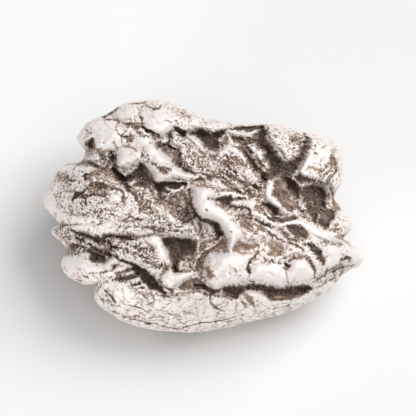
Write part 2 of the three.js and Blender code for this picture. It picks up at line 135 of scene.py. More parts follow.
def gradient_noise(points, size, seed):
    """Smooth noise of about -1 to 1: eight corner slopes of each cell, blended by a quintic each way."""
    scaled = points / size
    cell = np.floor(scaled).astype(np.int64)
    inside = scaled - cell
    blend = inside**3 * (inside * (inside * 6 - 15) + 10)
    total = np.zeros(len(points))
    for corner in np.ndindex(2, 2, 2):
        at = cell + corner
        turn = hashed(at, seed) * 2 * math.pi
        height = hashed(at, seed + SLOPE_SEED) * 2 - 1
        flat = np.sqrt(1 - height**2)
        slope = np.stack([flat * np.cos(turn), flat * np.sin(turn), height], axis=-1)
        share = np.prod(np.where(corner, blend, 1 - blend), axis=1)
        total += share * np.sum(slope * (inside - corner), axis=1)
    return total * NOISE_GAIN


def layered_noise(points, size, seed, layers=3):
    """Gradient noise with finer copies of itself added, each half the size and about half the height."""
    return sum(gradient_noise(points, size / 2**k, seed + 7 * k) * LAYER_SHARE**k for k in range(layers))


print("noise over the directions:", gradient_noise(directions, 0.1, 1)[::9677].round(2))

# %% [markdown]
# ## Noise of packed cells
#
# The second kind measures the distance to the nearest of many scattered points, one in each cell, which
# reads as packed grains or as pits.

# %% Cell noise
FAR = 99.0  # millimetres or cell sizes, further than anything on the lump


def cell_noise(points, size, seed):
    """Distance to the nearest scattered point and to the next, in cell sizes; each cell holds one point."""
    scaled = points / size
    cell = np.floor(scaled).astype(np.int64)
    nearest = np.full(len(points), FAR)
    second = np.full(len(points), FAR)
    for shift in np.ndindex(3, 3, 3):
        at = cell + np.array(shift) - 1
        centre = at + np.stack([hashed(at, seed + k) for k in range(3)], axis=-1)
        distance = np.linalg.norm(centre - scaled, axis=1)
        second = np.minimum(second, np.maximum(nearest, distance))
        nearest = np.minimum(nearest, distance)
    return nearest, second


print("cell noise over the directions:", cell_noise(directions, 0.1, 1)[0][::9677].round(2))

# %% [markdown]
# ## The outline
#
# The outline that the face shows is a closed line of a few dozen points round the middle, with the lobes
# and the notches that the rim has. It is measured from the middle in each bearing. A soft copy without the
# notches goes with it, because the top of the lump knows nothing of the notches in its rim.

# %% Outline
OUTLINE = [
    (16.3, 2.1), (16.6, 3.1), (17.2, 3.7), (17.5, 5), (17.5, 6.4), (17.2, 8), (16.5, 9.1), (15.5, 9.7),
    (13.6, 10.1), (12, 10.5), (10, 11.1), (8, 11.4), (6, 11.3), (4, 11.3), (2, 11.7), (0, 12.1),
    (-1.3, 12.8), (-2.5, 13.5), (-4, 14.1), (-6, 14.3), (-8, 14.2), (-10, 13.9), (-11, 13.4), (-11.8, 12.7),
    (-13.3, 12.1), (-14.6, 11.5), (-15.5, 10.5), (-15.9, 9.7), (-15.7, 8.9), (-15, 8.5), (-14.8, 8.1),
    (-15.1, 7), (-15.4, 6.6), (-16.2, 6.3), (-17, 6.45), (-18, 6), (-18.6, 5), (-19.1, 4), (-19.8, 3),
    (-20.1, 2.1), (-19.8, 1), (-18.8, 0), (-18, -1), (-17.6, -1.3), (-18.6, -1.4), (-19, -1.6), (-19.1, -2),
    (-18.8, -2.5), (-17.8, -3.3), (-17.1, -4.2), (-17.2, -4.6), (-17.7, -5.2), (-17.9, -6.2), (-17.5, -7.1),
    (-16.4, -7.9), (-15, -8.5), (-13.9, -8.75), (-13.7, -9.3), (-13.8, -10.3), (-13.3, -11.1), (-12, -12),
    (-10.5, -13), (-9, -13.6), (-7, -14.1), (-4, -14.4), (-1, -14.5), (2, -14.1), (5, -13.3), (8, -12.7),
    (10.5, -12.1), (12.5, -11.3), (14, -10.6), (14.5, -10), (15.5, -9.6), (16.4, -8.9), (16.8, -7.9),
    (17.3, -7.3), (18.5, -6.7), (19.6, -6.3), (20.1, -5.4), (19.8, -4.5), (18.8, -3.6), (17.8, -3.1),
    (17.5, -2.8), (18.2, -2.1), (18.6, -1.3), (18.5, -0.4), (17.6, 0.4), (17.2, 1),
]
ROUNDING = math.pi / 9  # how far to either side the soft outline averages


def rim_radius(bearing):
    """The outline's distance from the middle at each bearing, straight between its points."""
    points = np.array(OUTLINE)
    angle = np.arctan2(points[:, 1], points[:, 0])
    order = np.argsort(angle)
    return np.interp(bearing, angle[order], np.hypot(*points.T)[order], period=2 * math.pi)


def soft_rim_radius(bearing):
    """The same distance averaged over the bearings to either side, by cosine weights."""
    offsets = np.linspace(-1, 1, 25)
    weights = 1 + np.cos(math.pi * offsets)
    return sum(w * rim_radius(bearing + ROUNDING * x) for w, x in zip(weights, offsets)) / weights.sum()


print("rim, mm from the middle:", rim_radius(np.radians([0, 90, 180, 270])).round(1))

# %% [markdown]
# ## The plain lump
#
# A direction is carried out to the outline in its own bearing, so the lump is a cushion with a lobed edge:
# full height in the middle, falling ever more steeply towards the rim. The squares would crowd at the rim
# and be coarse on top, so the angles are first spread to equal areas, with the face counted for more than
# the back.

# %% Plain lump
FACE_WEIGHT = 3.2  # how many times finer, by area, the grid is on the face than on the back
FACE_END = 0.56 * math.pi  # the angle from the face's middle at which the finer grid ends
BALL_HEIGHT = 0.5  # of its width: the flattened ball that the areas are taken on
CUSHION_POWER = 3  # the height falls as the root of one less this power of the share reached
RIM_POWER = 12  # how late the soft outline gives way to the true one


def spread(polar):
    """Equal shares of the sphere's area take equal shares of a flattened ball's; the face counts more."""
    angle = np.linspace(0, math.pi, 721)  # every quarter of a degree
    weight = np.where(angle < FACE_END, FACE_WEIGHT, 1)
    area = np.cumsum(weight * np.sin(angle) * np.hypot(np.cos(angle), BALL_HEIGHT * np.sin(angle)))
    return np.interp((1 - np.cos(polar)) / 2, (area - area[0]) / (area[-1] - area[0]), angle)


def plain_lump(unit):
    """Places on the cushion, and how far each looks out of the face (1) or out of the back (-1)."""
    bent = spread(np.arccos(np.clip(unit[:, 2], -1, 1)))
    across, out = np.sin(bent), np.cos(bent)
    bearing = np.arctan2(unit[:, 1], unit[:, 0])
    reach = rim_radius(bearing) * across
    softness = (rim_radius(bearing) / soft_rim_radius(bearing)) ** (1 - across**RIM_POWER)
    fall = np.sqrt(np.clip(1 - (across * softness) ** CUSHION_POWER, 0, 1))
    height = fall * np.where(out > 0, FACE_RISE, -BACK_DEPTH)
    return np.column_stack([np.cos(bearing) * reach, np.sin(bearing) * reach, height]), out


lump, outward = plain_lump(directions)
print("plain lump, mm:", lump.min(axis=0).round(1), lump.max(axis=0).round(1))

# %% [markdown]
# ## Forms with an edge
#
# The relief is a list of named forms, each made of patches with an outline, (u, v) round it, or of bars
# along a line, (u, v, half width) along it. For every grid point the code works out how deep inside a form
# it lies. A form rises steeply at its edge and levels off over its bevel, which is how melted iron looks:
# swollen tops that drop sharply into the next hollow. A rise under zero digs a hollow.

# %% Bars and patches
def segment_gap(u, v, a, b):
    """Distance of each point to the straight stretch from a to b, and the nearest place's share of it."""
    du, dv = b[0] - a[0], b[1] - a[1]
    along = np.clip(((u - a[0]) * du + (v - a[1]) * dv) / (du * du + dv * dv), 0, 1)
    return np.hypot(u - a[0] - along * du, v - a[1] - along * dv), along


def inside_bar(u, v, points):
    """The local half width, straight between the bar's points, less the distance to its line."""
    most = np.full(len(u), -FAR)
    for a, b in zip(points, points[1:]):
        gap, along = segment_gap(u, v, a, b)
        most = np.maximum(most, a[2] + along * (b[2] - a[2]) - gap)
    return most


def inside_patch(u, v, points):
    """Distance to the outline, under zero outside it. From inside, a ray crosses it an odd count."""
    nearest = np.full(len(u), FAR)
    crossings = np.zeros(len(u), dtype=int)
    for a, b in zip(points, points[1:] + points[:1]):
        nearest = np.minimum(nearest, segment_gap(u, v, a, b)[0])
        if a[1] != b[1]:
            beside = u < a[0] + (v - a[1]) / (b[1] - a[1]) * (b[0] - a[0])
            crossings += ((a[1] > v) != (b[1] > v)) & beside
    return np.where(crossings % 2 == 1, nearest, -nearest)


square = [(0, 0), (4, 0), (4, 4), (0, 4)]
print("1 mm inside a square:", inside_patch(np.array([1]), np.array([2]), square))

# %% [markdown]
# ## The list of forms
#
# Each form may also bring stain, which is how much rust lies on it, gloss, which is how much it has been
# rubbed, and grit, which is how coarse it is. The list is filled cell by cell, and a later form lies over
# the earlier ones.

# %% Forms
OUTSIDE = -1.0  # the depth of every point that lies further outside a form than this
forms = []


def depth_inside(u, v, shapes):
    """How deep each point lies inside the shapes: under zero outside them, and never under OUTSIDE."""
    depth = np.full(len(u), OUTSIDE)
    for points in shapes:
        corners = np.array(points)
        is_bar = corners.shape[1] == 3
        reach = corners[:, 2].max() - OUTSIDE if is_bar else -OUTSIDE
        near = (u > corners[:, 0].min() - reach) & (u < corners[:, 0].max() + reach)
        near &= (v > corners[:, 1].min() - reach) & (v < corners[:, 1].max() + reach)
        inside = inside_bar if is_bar else inside_patch
        depth[near] = np.maximum(depth[near], inside(u[near], v[near], points))
    return depth


def form(name, rise, bevel, *shapes, stain=0.0, gloss=0.0, grit=0.0):
    """Adds a form: rise and bevel in millimetres, its shapes, and the stain, gloss and grit it brings."""
    forms.append(dict(name=name, rise=rise, bevel=bevel, shapes=shapes, stain=stain, gloss=gloss, grit=grit))


bar = [(0, 0, 1), (4, 0, 1)]
print("0.5 mm inside the square or a bar:", depth_inside(np.array([0.5]), np.array([2]), [square, bar]))

# %% [markdown]
# ## The masses
#
# First come the broad masses, each about a millimetre high, that the finer forms sit on. They could be
# sculpted by hand, but named outlines can be read, moved and measured.

# %% Masses
form("west slab", 1.05, 0.78, [(-21, 2), (-18.8, 6.4), (-15.3, 6.3), (-13, 5.9), (-11, 5.3), (-10.2, 4.4),
    (-9.7, 3.9), (-8.6, 3.7), (-7, 3.3), (-6.2, 2.4), (-5.8, 1.7), (-5.4, 0.8), (-4.4, 0.7), (-3.6, -0.2),
    (-2.4, -0.9), (-1.5, -0.8), (-1, -0.3), (-0.5, -1.4), (-0.7, -2.6), (-4.9, -2.4), (-8.4, -2.45),
    (-11.4, -2.3), (-13, -2.7), (-14.5, -2.2), (-16.5, -1.75), (-17.8, -1.3), (-20.5, 0)])
form("crown", 1.4, 0.9, [(-16.5, 9.4), (-15.6, 11.2), (-12.5, 13), (-9, 15), (-5, 15.4), (-2, 14.5), (1, 13),
    (3.5, 12), (3.2, 10.8), (1.2, 10.2), (-0.5, 10.8), (-2.3, 10.4), (-3.6, 10.8), (-4.3, 10.1), (-5, 9.7),
    (-6.4, 10), (-6.1, 9), (-5.6, 8.2), (-4.6, 7.3), (-3.6, 6.2), (-2.4, 5.4), (-0.6, 4.9), (-1.8, 4.3),
    (-3.2, 4.5), (-5, 4.1), (-6.1, 4.3), (-6.5, 5.2), (-7.4, 6.4), (-8.4, 6.2), (-9.6, 6), (-10.2, 5),
    (-10.8, 5.6), (-10.8, 7.9), (-13.3, 8), (-14.5, 8.2), (-15.8, 8.6)])
form("south-east mass", 1.19, 0.96, [(-1.5, 3.5), (1, 4.4), (3.4, 3.2), (6.2, 2.2), (9, 0), (12, -0.4),
    (14.5, -1.4), (17, -2.6), (20.5, -4.5), (20, -6.2), (17, -6.2), (15.2, -7.2), (13.5, -8.4), (9.6, -8.8),
    (6, -8.3), (3, -8.7), (1.4, -9.1), (0.3, -8), (-0.3, -6), (0.6, -4.6), (2.6, -4.3), (3, -2.8), (2.4, -2),
    (1.4, -0.7), (-0.3, -0.4), (-1.2, 1)])
form("east boulder", 1.4, 0.42, [(13.2, 8.4), (12.9, 7.6), (12.5, 6.8), (12, 6), (11.8, 5.5), (12, 5),
    (12.6, 4.7), (13.4, 4.6), (14.5, 4.4), (15.8, 3.8), (16.3, 2.6), (19, 3), (19, 9), (16, 11), (12.6, 11),
    (12.7, 9.9), (13.3, 9.3)])
form("north-east block", 0.85, 0.4, [(8, 12.2), (8.1, 9.8), (8.7, 8.9), (9.6, 8.1), (10.1, 7.1), (10.6, 6.8),
    (11.3, 7.1), (12, 7.9), (12.2, 8.6), (12.6, 9.2), (12.8, 9.8), (12.6, 11.4), (10, 12)])
form("middle slab", 0.6, 0.54, [(-3.9, 10.2), (-2.2, 9.6), (-1.2, 9.9), (0.4, 8.2), (1.5, 7.6), (3.2, 9),
    (4.2, 8.5), (5.6, 6.4), (7.4, 4.2), (7.6, 2.4), (5.2, 2.4), (2.6, 4.1), (0, 4.6), (-1.6, 5.3),
    (-2.7, 6.1), (-3, 7.4), (-2.9, 8.3), (-4, 9)])
form("east knob", 0.91, 0.72,
    [(15.6, -1), (16.2, 0), (17.4, 0.8), (19.4, 0.2), (19.4, -2.6), (17.8, -3.5), (16.2, -3), (15.2, -2.3)])
form("south-west lobe", 0.98, 0.78, [(-18.5, -5), (-16.4, -4.9), (-15, -4.6), (-14.4, -5), (-13.9, -5.5),
    (-12.9, -5.9), (-12.2, -5.8), (-11.5, -5.2), (-10.9, -5.1), (-10.6, -5.5), (-11.3, -6.3), (-11.5, -7),
    (-10.2, -8.2), (-12.8, -9.6), (-16, -9), (-18.8, -7)])
form("lower slab", 0.77, 0.54, [(-11, -2.6), (-8.6, -3), (-7.2, -2.5), (-5.4, -2.5), (-5.1, -3.3),
    (-4.2, -4.6), (-4, -5.8), (-4.8, -6.6), (-5.5, -7.6), (-6.9, -6.8), (-7.6, -6), (-8.6, -5.8),
    (-10.2, -5.4), (-11.4, -4.4), (-14, -3.4), (-13.4, -3), (-11.6, -3.4)])
form("south band", 0.56, 0.5, [(-14.5, -9.4), (-12, -8.3), (-9.4, -8.2), (-7.6, -8.9), (-5.9, -9.3),
    (-4.9, -9.8), (-3.6, -9.4), (-1.2, -9.1), (0.8, -9.9), (1.5, -9.4), (2.4, -9.4), (3.3, -10), (4, -10.1),
    (4.8, -9.4), (6.4, -9.1), (7.6, -9.9), (8.5, -10.4), (11, -10.1), (13.6, -9.2), (16, -8), (18, -8.4),
    (12, -13), (4, -15), (-4, -16), (-12, -14)], gloss=0.86)
print(len(forms), "forms so far")

# %% [markdown]
# ## The spine and the knuckles
#
# The burnished parts are lumps and bars that melted iron drew itself into. The S of the spine runs down the
# middle, and the row of knuckles lies under it. Each is as wide as its bevel, so its section is a half
# round.

# %% Swellings of the spine
form("spine", 1.29, 0.75, [(0.2, 2.6, 1.1), (-0.3, 1.9, 1.2), (0.4, 0.7, 1.15), (1.6, 0.2, 1),
    (2.8, -0.5, 1), (3.3, -1.6, 1), (3.8, -2.3, 1), (3.5, -3.3, 0.5), (3.3, -4.2, 0.3)],
    [(-0.4, 2.7, 0.9), (1, 2.7, 0.6)], gloss=1)
form("spine foot", 0.34, 0.68, [(3.8, -1.6, 1), (5, -2.6, 0.8), (6.8, -2.5, 0.7)], gloss=0.6)
form("spine bead", 0.34, 0.4, [(-1.5, 3.5, 0.4), (-1.3, 3.5, 0.4)], gloss=1)
form("heel", 1.02, 1.35, [(0.2, -5.8), (0.9, -5), (1.7, -4.6), (2.6, -4.45), (4.2, -4.5), (5.6, -4.6),
    (6.3, -4.9), (5.9, -5.4), (5.5, -6), (5.4, -6.8), (5.7, -7.2), (5.4, -8), (4, -8.4), (3, -8.7),
    (1.3, -9), (0.6, -8.5), (0, -7.6), (0.1, -6.8)], gloss=1)
form("heel lump", 0.34, 1.05, [(3.1, -5.8, 1.4), (4.1, -7, 1.3)], gloss=1)
form("heel toe", 0.34, 0.6, [(1.2, -7.6, 0.9), (1.6, -8.2, 0.8)], gloss=1)
form("middle knuckle", 0.88, 0.9, [(5.9, -6), (7, -5.9), (8.5, -5.8), (9.6, -5.9), (10, -6.6), (10.3, -7.2),
    (10.4, -8.1), (9.5, -8.5), (8.6, -8.4), (7, -8.1), (5.4, -7.8), (5.8, -7.2)], gloss=1)
form("end knuckle", 1.15, 1.2, [(10.4, -5.9), (10.9, -5.5), (11.8, -5.2), (12.6, -5.3), (13.3, -5.9),
    (13.8, -6.9), (13.9, -7.5), (13.6, -8), (13, -8.1), (11, -8.2), (10.4, -8.1), (10.2, -7.2)], gloss=1)
form("knuckle arch", 0.27, 0.3,
    [(8.9, -5.6, 0.25), (10, -4.9, 0.25), (10.8, -4.5, 0.3), (11.8, -4.3, 0.3), (12.6, -4.7, 0.25)],
    gloss=0.6)
print(len(forms), "forms so far")

# %% [markdown]
# ## The folds of the crown
#
# The crown is the broad bright mass at the upper left. It hangs over the hollows under it in drips and
# bars.

# %% Swellings of the crown
form("crown lump", 0.62, 1.12, [(-13.2, 10.5, 1.4), (-11.6, 10.3, 1.4)], gloss=1)
form("crown shoulder", 0.41, 0.68, [(-10.3, 12.5, 0.7), (-8.9, 12.9, 0.8)], gloss=0.8)
form("north slab", 0.47, 0.68, [(-7.5, 12.9), (-6, 13.1), (-4.4, 13.3), (-3.6, 12.4), (-3.7, 11),
    (-4.5, 10.1), (-5.1, 9.7), (-6, 10.3), (-7.2, 10.6), (-7.6, 11.6)], gloss=1)
form("north rim", 0.41, 0.6, [(-3, 12.6, 1), (-1.2, 11.9, 1), (0.6, 11.3, 0.7), (2.6, 11.1, 0.5)], gloss=0.7)
form("crown middle", 0.3, 0.68, [(-8.9, 9.2, 0.7), (-8.2, 9, 0.8), (-7.1, 8.6, 1.1)], gloss=1)
form("crown drip", 0.5, 0.6, [(-10.6, 6.6), (-10.2, 6.2), (-10, 5.4), (-9.6, 5.4), (-9, 5.8), (-8.5, 6.4),
    (-7.9, 6.8), (-7.6, 7.4), (-8, 8.4), (-9.4, 8.6), (-10.7, 8.3)], gloss=1)
form("crown bar", 0.54, 0.6, [(-6.5, 7.9, 1), (-5.6, 7, 0.9), (-4.5, 6.3, 0.9), (-3.4, 5.4, 0.65),
    (-2, 4.85, 0.4), (-0.7, 4.7, 0.22)], gloss=1)
form("bar foot", 0.27, 0.5, [(-6.5, 5.9, 0.5), (-5.8, 5, 0.6), (-4.6, 4.8, 0.5), (-3.3, 4.9, 0.4)],
    gloss=0.6)
form("ear", 0.41, 0.5, [(-15.2, 10.4, 0.5), (-15.4, 9.2, 0.4)], gloss=0.8)
form("neck", 0.7, 0.5, [(-15.6, 6.7), (-15.2, 8.4), (-13.6, 8.2), (-12.8, 7.4), (-13.2, 6.7), (-14.4, 6.8)],
    gloss=0.4)
print(len(forms), "forms so far")

# %% [markdown]
# ## The western rim and the southern lobes
#
# The west has a thick rim and a lobe that has been drawn out sideways, and the south two low lumps on its
# band.

# %% Swellings of the west and south
form("west rim", 0.21, 0.6,
    [(-17.8, 5.7, 0.6), (-18.9, 3.9, 0.7), (-19.4, 2.3, 0.7), (-18.7, 0.8, 0.6), (-17.6, -0.4, 0.5)],
    gloss=0.9)
form("west knob", 0.3, 0.3,
    [(-11.8, 2.4), (-11, 2.75), (-10.4, 2.5), (-10, 1.8), (-10.7, 1.4), (-11.7, 1.6)], gloss=0.8)
form("lobe top", 0.27, 0.75, [(-16.6, -5.8, 0.9), (-15, -6, 1), (-13.2, -6.5, 0.8)], gloss=1)
form("lobe cheek", 0.21, 0.68, [(-17, -6.6, 0.7), (-15.4, -7.5, 0.8), (-13.8, -8.2, 0.6)], gloss=0.8)
form("slab cheek", 0.5, 0.5, [(-7.4, -2.6), (-6, -2.4), (-5.2, -2.7), (-4.7, -3.6), (-4.1, -4.4),
    (-3.95, -5.2), (-4.4, -5.7), (-5.4, -5.6), (-6.2, -4.6), (-6.3, -3.7), (-7.2, -3.2)], gloss=0.85)
form("band lump west", 0.27, 0.4, [(-3.6, -9.3, 0.25), (-2.4, -9.7, 0.4), (0.1, -9.8, 0.35)], gloss=0.2)
form("band lump east", 0.54, 0.6, [(6.3, -9.6, 0.5), (7.4, -10.3, 0.5), (8, -10.8, 0.3)], gloss=0.4)
print(len(forms), "forms so far")

# %% [markdown]
# ## Bars and flakes of the east and the middle
#
# Here the iron broke into plates before it melted, and their edges were left as narrow bright bars.

# %% Swellings of the east and middle
form("arch bar", 0.62, 0.52, [(9.6, -1, 0.25), (10.8, -0.7, 0.35), (12, -0.6, 0.5), (13.2, -1.1, 0.7),
    (14.6, -1.9, 0.8), (16.4, -2.7, 0.7), (17.6, -3.1, 0.4)], gloss=0.8)
form("east bar", 0.47, 0.3, [(5.9, 0.5, 0.25), (7.2, -0.1, 0.3), (8.2, -0.7, 0.3), (9.2, -1.2, 0.28),
    (10.1, -1.8, 0.26), (10.9, -2.4, 0.2)], gloss=0.8)
form("shelf plate", 0.17, 0.6,
    [(8, -1.5), (9.2, -1.5), (10.6, -2.6), (10.8, -3.1), (9.4, -2.8), (8.2, -2.2)], gloss=0.6)
form("web ridge", 0.27, 0.2, [(9.9, -3, 0.12), (11.5, -3.35, 0.16), (12.4, -3.9, 0.18), (13, -4.7, 0.18),
    (13.6, -5.5, 0.18), (14.1, -6.4, 0.16)], gloss=0.5)
form("east block", 0.54, 0.83,
    [(14.9, -3.8), (15.8, -3.5), (17, -3.8), (17.2, -5), (17, -6.1), (15.9, -6.7), (15.3, -6.2), (15.3, -5)],
    gloss=1)
form("east tip", 0.41, 0.6, [(17.6, -4.2, 0.7), (19.4, -5.2, 0.7)], gloss=0.7)
form("white block", 0.5, 0.4,
    [(5.4, 1), (5.4, 2), (5.8, 2.2), (6.3, 2.1), (6.5, 1.5), (6.3, 0.9), (5.9, 0.8)], gloss=0.5)
form("crest", 0.4, 0.4,
    [(2.7, 8.5, 0.4), (3.8, 8.4, 0.4), (4.4, 7.8, 0.2), (5.1, 7, 0.16), (5.7, 6.3, 0.12)],
    [(1.9, 7.6, 0.35), (3, 7.9, 0.4), (3.9, 8.1, 0.35)], gloss=0.5)
form("slab edge", 0.5, 0.35, [(-2.2, 10, 0.2), (-1.5, 9.6, 0.3), (-0.9, 8.9, 0.3), (-0.2, 8.2, 0.28),
    (0.7, 7.3, 0.26), (2, 6.3, 0.22), (3.2, 5.6, 0.16)], gloss=0.7)
form("chasm ledge", 0.47, 0.25,
    [(-0.3, 8.4, 0.2), (0.4, 8.4, 0.22), (0.9, 8.1, 0.22), (1.2, 7.8, 0.22), (2, 7.8, 0.2)], gloss=0.8)
form("upper flake", 0.47, 0.35, [(0.3, 4.2, 0.25), (1.4, 4.2, 0.35), (2.4, 3.7, 0.35), (3.4, 3.1, 0.25)],
    gloss=0.95)
form("small flakes", 0.27, 0.25, [(2.3, 2.7, 0.25), (3.4, 2.7, 0.25)], [(3.8, 2.6, 0.2), (4.9, 2.4, 0.2)],
    gloss=0.5)
form("block flake", 0.34, 0.25, [(11.2, 8, 0.2), (11.8, 7.8, 0.2)], gloss=0.6)
print(len(forms), "forms so far")

# %% [markdown]
# ## Chasms
#
# The dark parts are real depths, up to about two millimetres. Light hardly reaches their floors, and that
# is where the rust and dirt have stayed. These are the forked chasm of the north-east, its neighbours and
# the east pit.

# %% Chasms of the north and east
form("north-east chasm", -2.2, 0.7, [(6.6, 10.3), (7.5, 11.1), (7.8, 10.4), (7.9, 9.7), (8.1, 9.1),
    (8.7, 8.5), (9.6, 7.3), (10.1, 6.7), (11, 6.8), (11.6, 7.2), (12.1, 8.2), (12.5, 9.2), (12.8, 9.5),
    (13, 9.1), (12.9, 8), (12.4, 6.8), (11.6, 5.6), (10.9, 4.7), (11.6, 3.9), (12.3, 3.5), (12.1, 1.8),
    (11.5, 2.1), (10.7, 2.9), (10, 4.1), (9.5, 4.6), (8.4, 4.5), (7.2, 4), (7.6, 5.2), (8.1, 6.1),
    (7.4, 6.8), (7.3, 7.8), (6.7, 8.1), (6.2, 8.8), (6.2, 9.8)], stain=0.84, grit=0.6)
form("west chasm pit", -1.2, 0.4,
    [(-3.85, 10.95), (-3.2, 10.6), (-2.1, 10.45), (-2.1, 9.9), (-2.6, 9.8), (-3.1, 10.1), (-3.6, 10.45)],
    stain=0.95)
form("north chasm", -1.65, 0.5, [(-2, 10.3), (-1, 10.5), (-0.4, 10.75), (0.3, 10.5), (1, 10.2), (1.9, 10.5),
    (2.8, 10.6), (2.3, 10), (1.9, 9.4), (1.9, 8.7), (2, 8.1), (1.5, 7.8), (1, 7.95), (0.5, 8.2), (0, 8.55),
    (-0.4, 9.1), (-1, 9.8), (-1.5, 10.05)], stain=0.92, grit=0.4)
form("north line", -0.7, 0.25, [(3.4, 10.65, 0.12), (4.6, 10.8, 0.22), (5.4, 10.8, 0.26), (6.2, 10.9, 0.3),
    (7, 10.9, 0.3), (7.5, 11, 0.2)], stain=0.9)
form("chasm slope", -0.5, 0.6, [(1.6, 10.2), (2.8, 10.3), (3, 9.2), (2.4, 8.4), (1.6, 8)], stain=0.2,
    grit=0.5)
form("flake crack", -0.3, 0.12,
    [(12.5, 9.8, 0.08), (12, 9, 0.1), (11.85, 8.1, 0.12), (11.2, 7.6, 0.1), (11.2, 7.2, 0.12)],
    [(11.6, 8.9, 0.08), (11.1, 8.2, 0.1), (11.3, 7.4, 0.1)], stain=0.7)
form("boulder underside", -0.4, 0.3,
    [(11.2, 4.9), (11.9, 5.1), (12.6, 4.75), (13.6, 4.6), (14.2, 4.4), (13.6, 4), (12.2, 3.7), (11.6, 4.1)],
    stain=0.45, grit=0.2)
form("east pit", -1.3, 0.4, [(12, 2.8), (12.3, 3.6), (13.3, 3.8), (14.3, 3.7), (15, 3.4), (15.4, 2.7),
    (15.3, 1.8), (15.2, 1.1), (14.8, 0.8), (14.4, 0.2), (14.2, -0.5), (14, -0.95), (13.4, -0.6), (13.1, 0.2),
    (12.7, 1.1), (12.2, 2)], stain=0.95, grit=0.7)
print(len(forms), "forms so far")

# %% [markdown]
# ## Recesses of the crown
#
# Shallower recesses have a tan or brown floor. The crown has a valley along its foot and creases between
# its folds.

# %% Hollows of the crown
form("crown valley", -1.1, 0.6, [(-10.9, 4.6), (-9.8, 4.9), (-9, 5.3), (-8.3, 5.9), (-7.9, 6.8), (-7.4, 6.4),
    (-7, 5.7), (-6.5, 5), (-6.3, 4.3), (-5.8, 4), (-4.5, 4.05), (-3.5, 4.1), (-2.2, 4), (-2, 3.7),
    (-3.5, 3.8), (-4.7, 3.7), (-5.2, 3.2), (-5.8, 3.1), (-6.3, 3.6), (-7, 4.1), (-8, 4.2), (-8.7, 4.2),
    (-9.6, 4), (-10.4, 4.1)], stain=0.58, grit=0.5)
form("valley head", -0.6, 0.3,
    [(-14.3, 6.6, 0.08), (-13.6, 6.25, 0.16), (-12.8, 5.9, 0.16), (-12.3, 5.7, 0.1)], [(-11.5, 7.9, 0.12),
    (-11.3, 7, 0.2), (-11.2, 6, 0.24), (-11, 5.2, 0.26), (-10.4, 4.6, 0.4), (-9.8, 4.5, 0.3)], stain=0.62,
    grit=0.6)
form("valley arm", -0.6, 0.4,
    [(-11.3, 5.7, 0.35), (-10.8, 4.9, 0.5), (-10.2, 4.2, 0.5), (-9.7, 3.6, 0.35), (-9.3, 3.1, 0.2)],
    stain=0.82)
form("crown apron", -0.5, 0.6, [(-13.2, 7), (-12.8, 7.7), (-12.2, 7.6), (-11.3, 7.9), (-10.7, 7.5),
    (-10.8, 7), (-10.6, 5.4), (-12.2, 5.9), (-13.2, 6.3)], stain=0.25, grit=1)
form("brown channel", -0.8, 0.4, [(-6.4, 9), (-5.4, 9), (-4.4, 8.8), (-3.2, 8.1), (-2.8, 7.2), (-2, 6.6),
    (-1.4, 5.7), (-1.2, 5.1), (-2.4, 5.3), (-3.5, 6.2), (-4.3, 7.1), (-5.4, 8.1)], stain=0.36, grit=0.8)
form("channel brow", -0.6, 0.2,
    [(-5.4, 8.95, 0.08), (-4.4, 8.75, 0.14), (-3.6, 8.3, 0.14), (-3, 7.9, 0.16), (-2.85, 7.2, 0.14)],
    [(-4.1, 10.4, 0.1), (-4.25, 9.8, 0.14), (-4.3, 9, 0.14)], stain=0.82)
form("crown seam", -0.5, 0.2, [(-8.1, 12.8, 0.06), (-7.8, 12, 0.1), (-7.65, 11.2, 0.12), (-7.6, 10.8, 0.12)],
    stain=0.6)
form("seam foot", -0.6, 0.2,
    [(-7.6, 10.9, 0.12), (-7.1, 10.5, 0.18), (-6.2, 10.2, 0.16), (-5.6, 9.95, 0.12)], stain=0.75)
form("rim grooves", -0.3, 0.2,
    [(-13, 12.2, 0.1), (-12.2, 12.35, 0.14), (-11.6, 12.65, 0.16), (-11, 13, 0.14), (-10.5, 13.35, 0.1)],
    [(-9.5, 13.7, 0.08), (-8, 13.8, 0.12), (-7.3, 14.1, 0.08)],
    [(-6.9, 13.5, 0.08), (-6.2, 13.2, 0.16), (-5.5, 13.3, 0.18), (-5.3, 13.6, 0.08)], stain=0.6)
form("slab slit", -0.26, 0.15, [(-4.8, 11.8, 0.1), (-3.9, 11.5, 0.15)], stain=0.6)
form("ear hole", -1.04, 0.35,
    [(-13.9, 9.7), (-13.4, 8.9), (-13.2, 8), (-14.4, 8.1), (-14.8, 8.8), (-14.4, 9.3)], stain=0.6)
form("ear slit", -0.5, 0.2, [(-13.9, 9.5, 0.12), (-14, 8.9, 0.25), (-14.1, 8.5, 0.15)], stain=0.85)
form("crown pit", -0.52, 0.4, [(-10.1, 9.7), (-9.2, 8.8), (-8.5, 9.1), (-8.5, 9.9), (-9.2, 10.2)], stain=0.5,
    grit=1)
form("crown shelf", -0.3, 0.3, [(-10.6, 11.6), (-9.6, 11.45), (-8.6, 11.6), (-7.8, 11.4), (-7.6, 10.8),
    (-8.6, 10.6), (-9.4, 11), (-10, 11.3)], stain=0.5, grit=1)
form("shard hollow", -0.5, 0.4, [(-6.3, 4.2), (-2, 4.1), (-2.2, 3.3), (-3, 2.8), (-4.8, 2.7), (-5.9, 2.9)],
    stain=0.85)
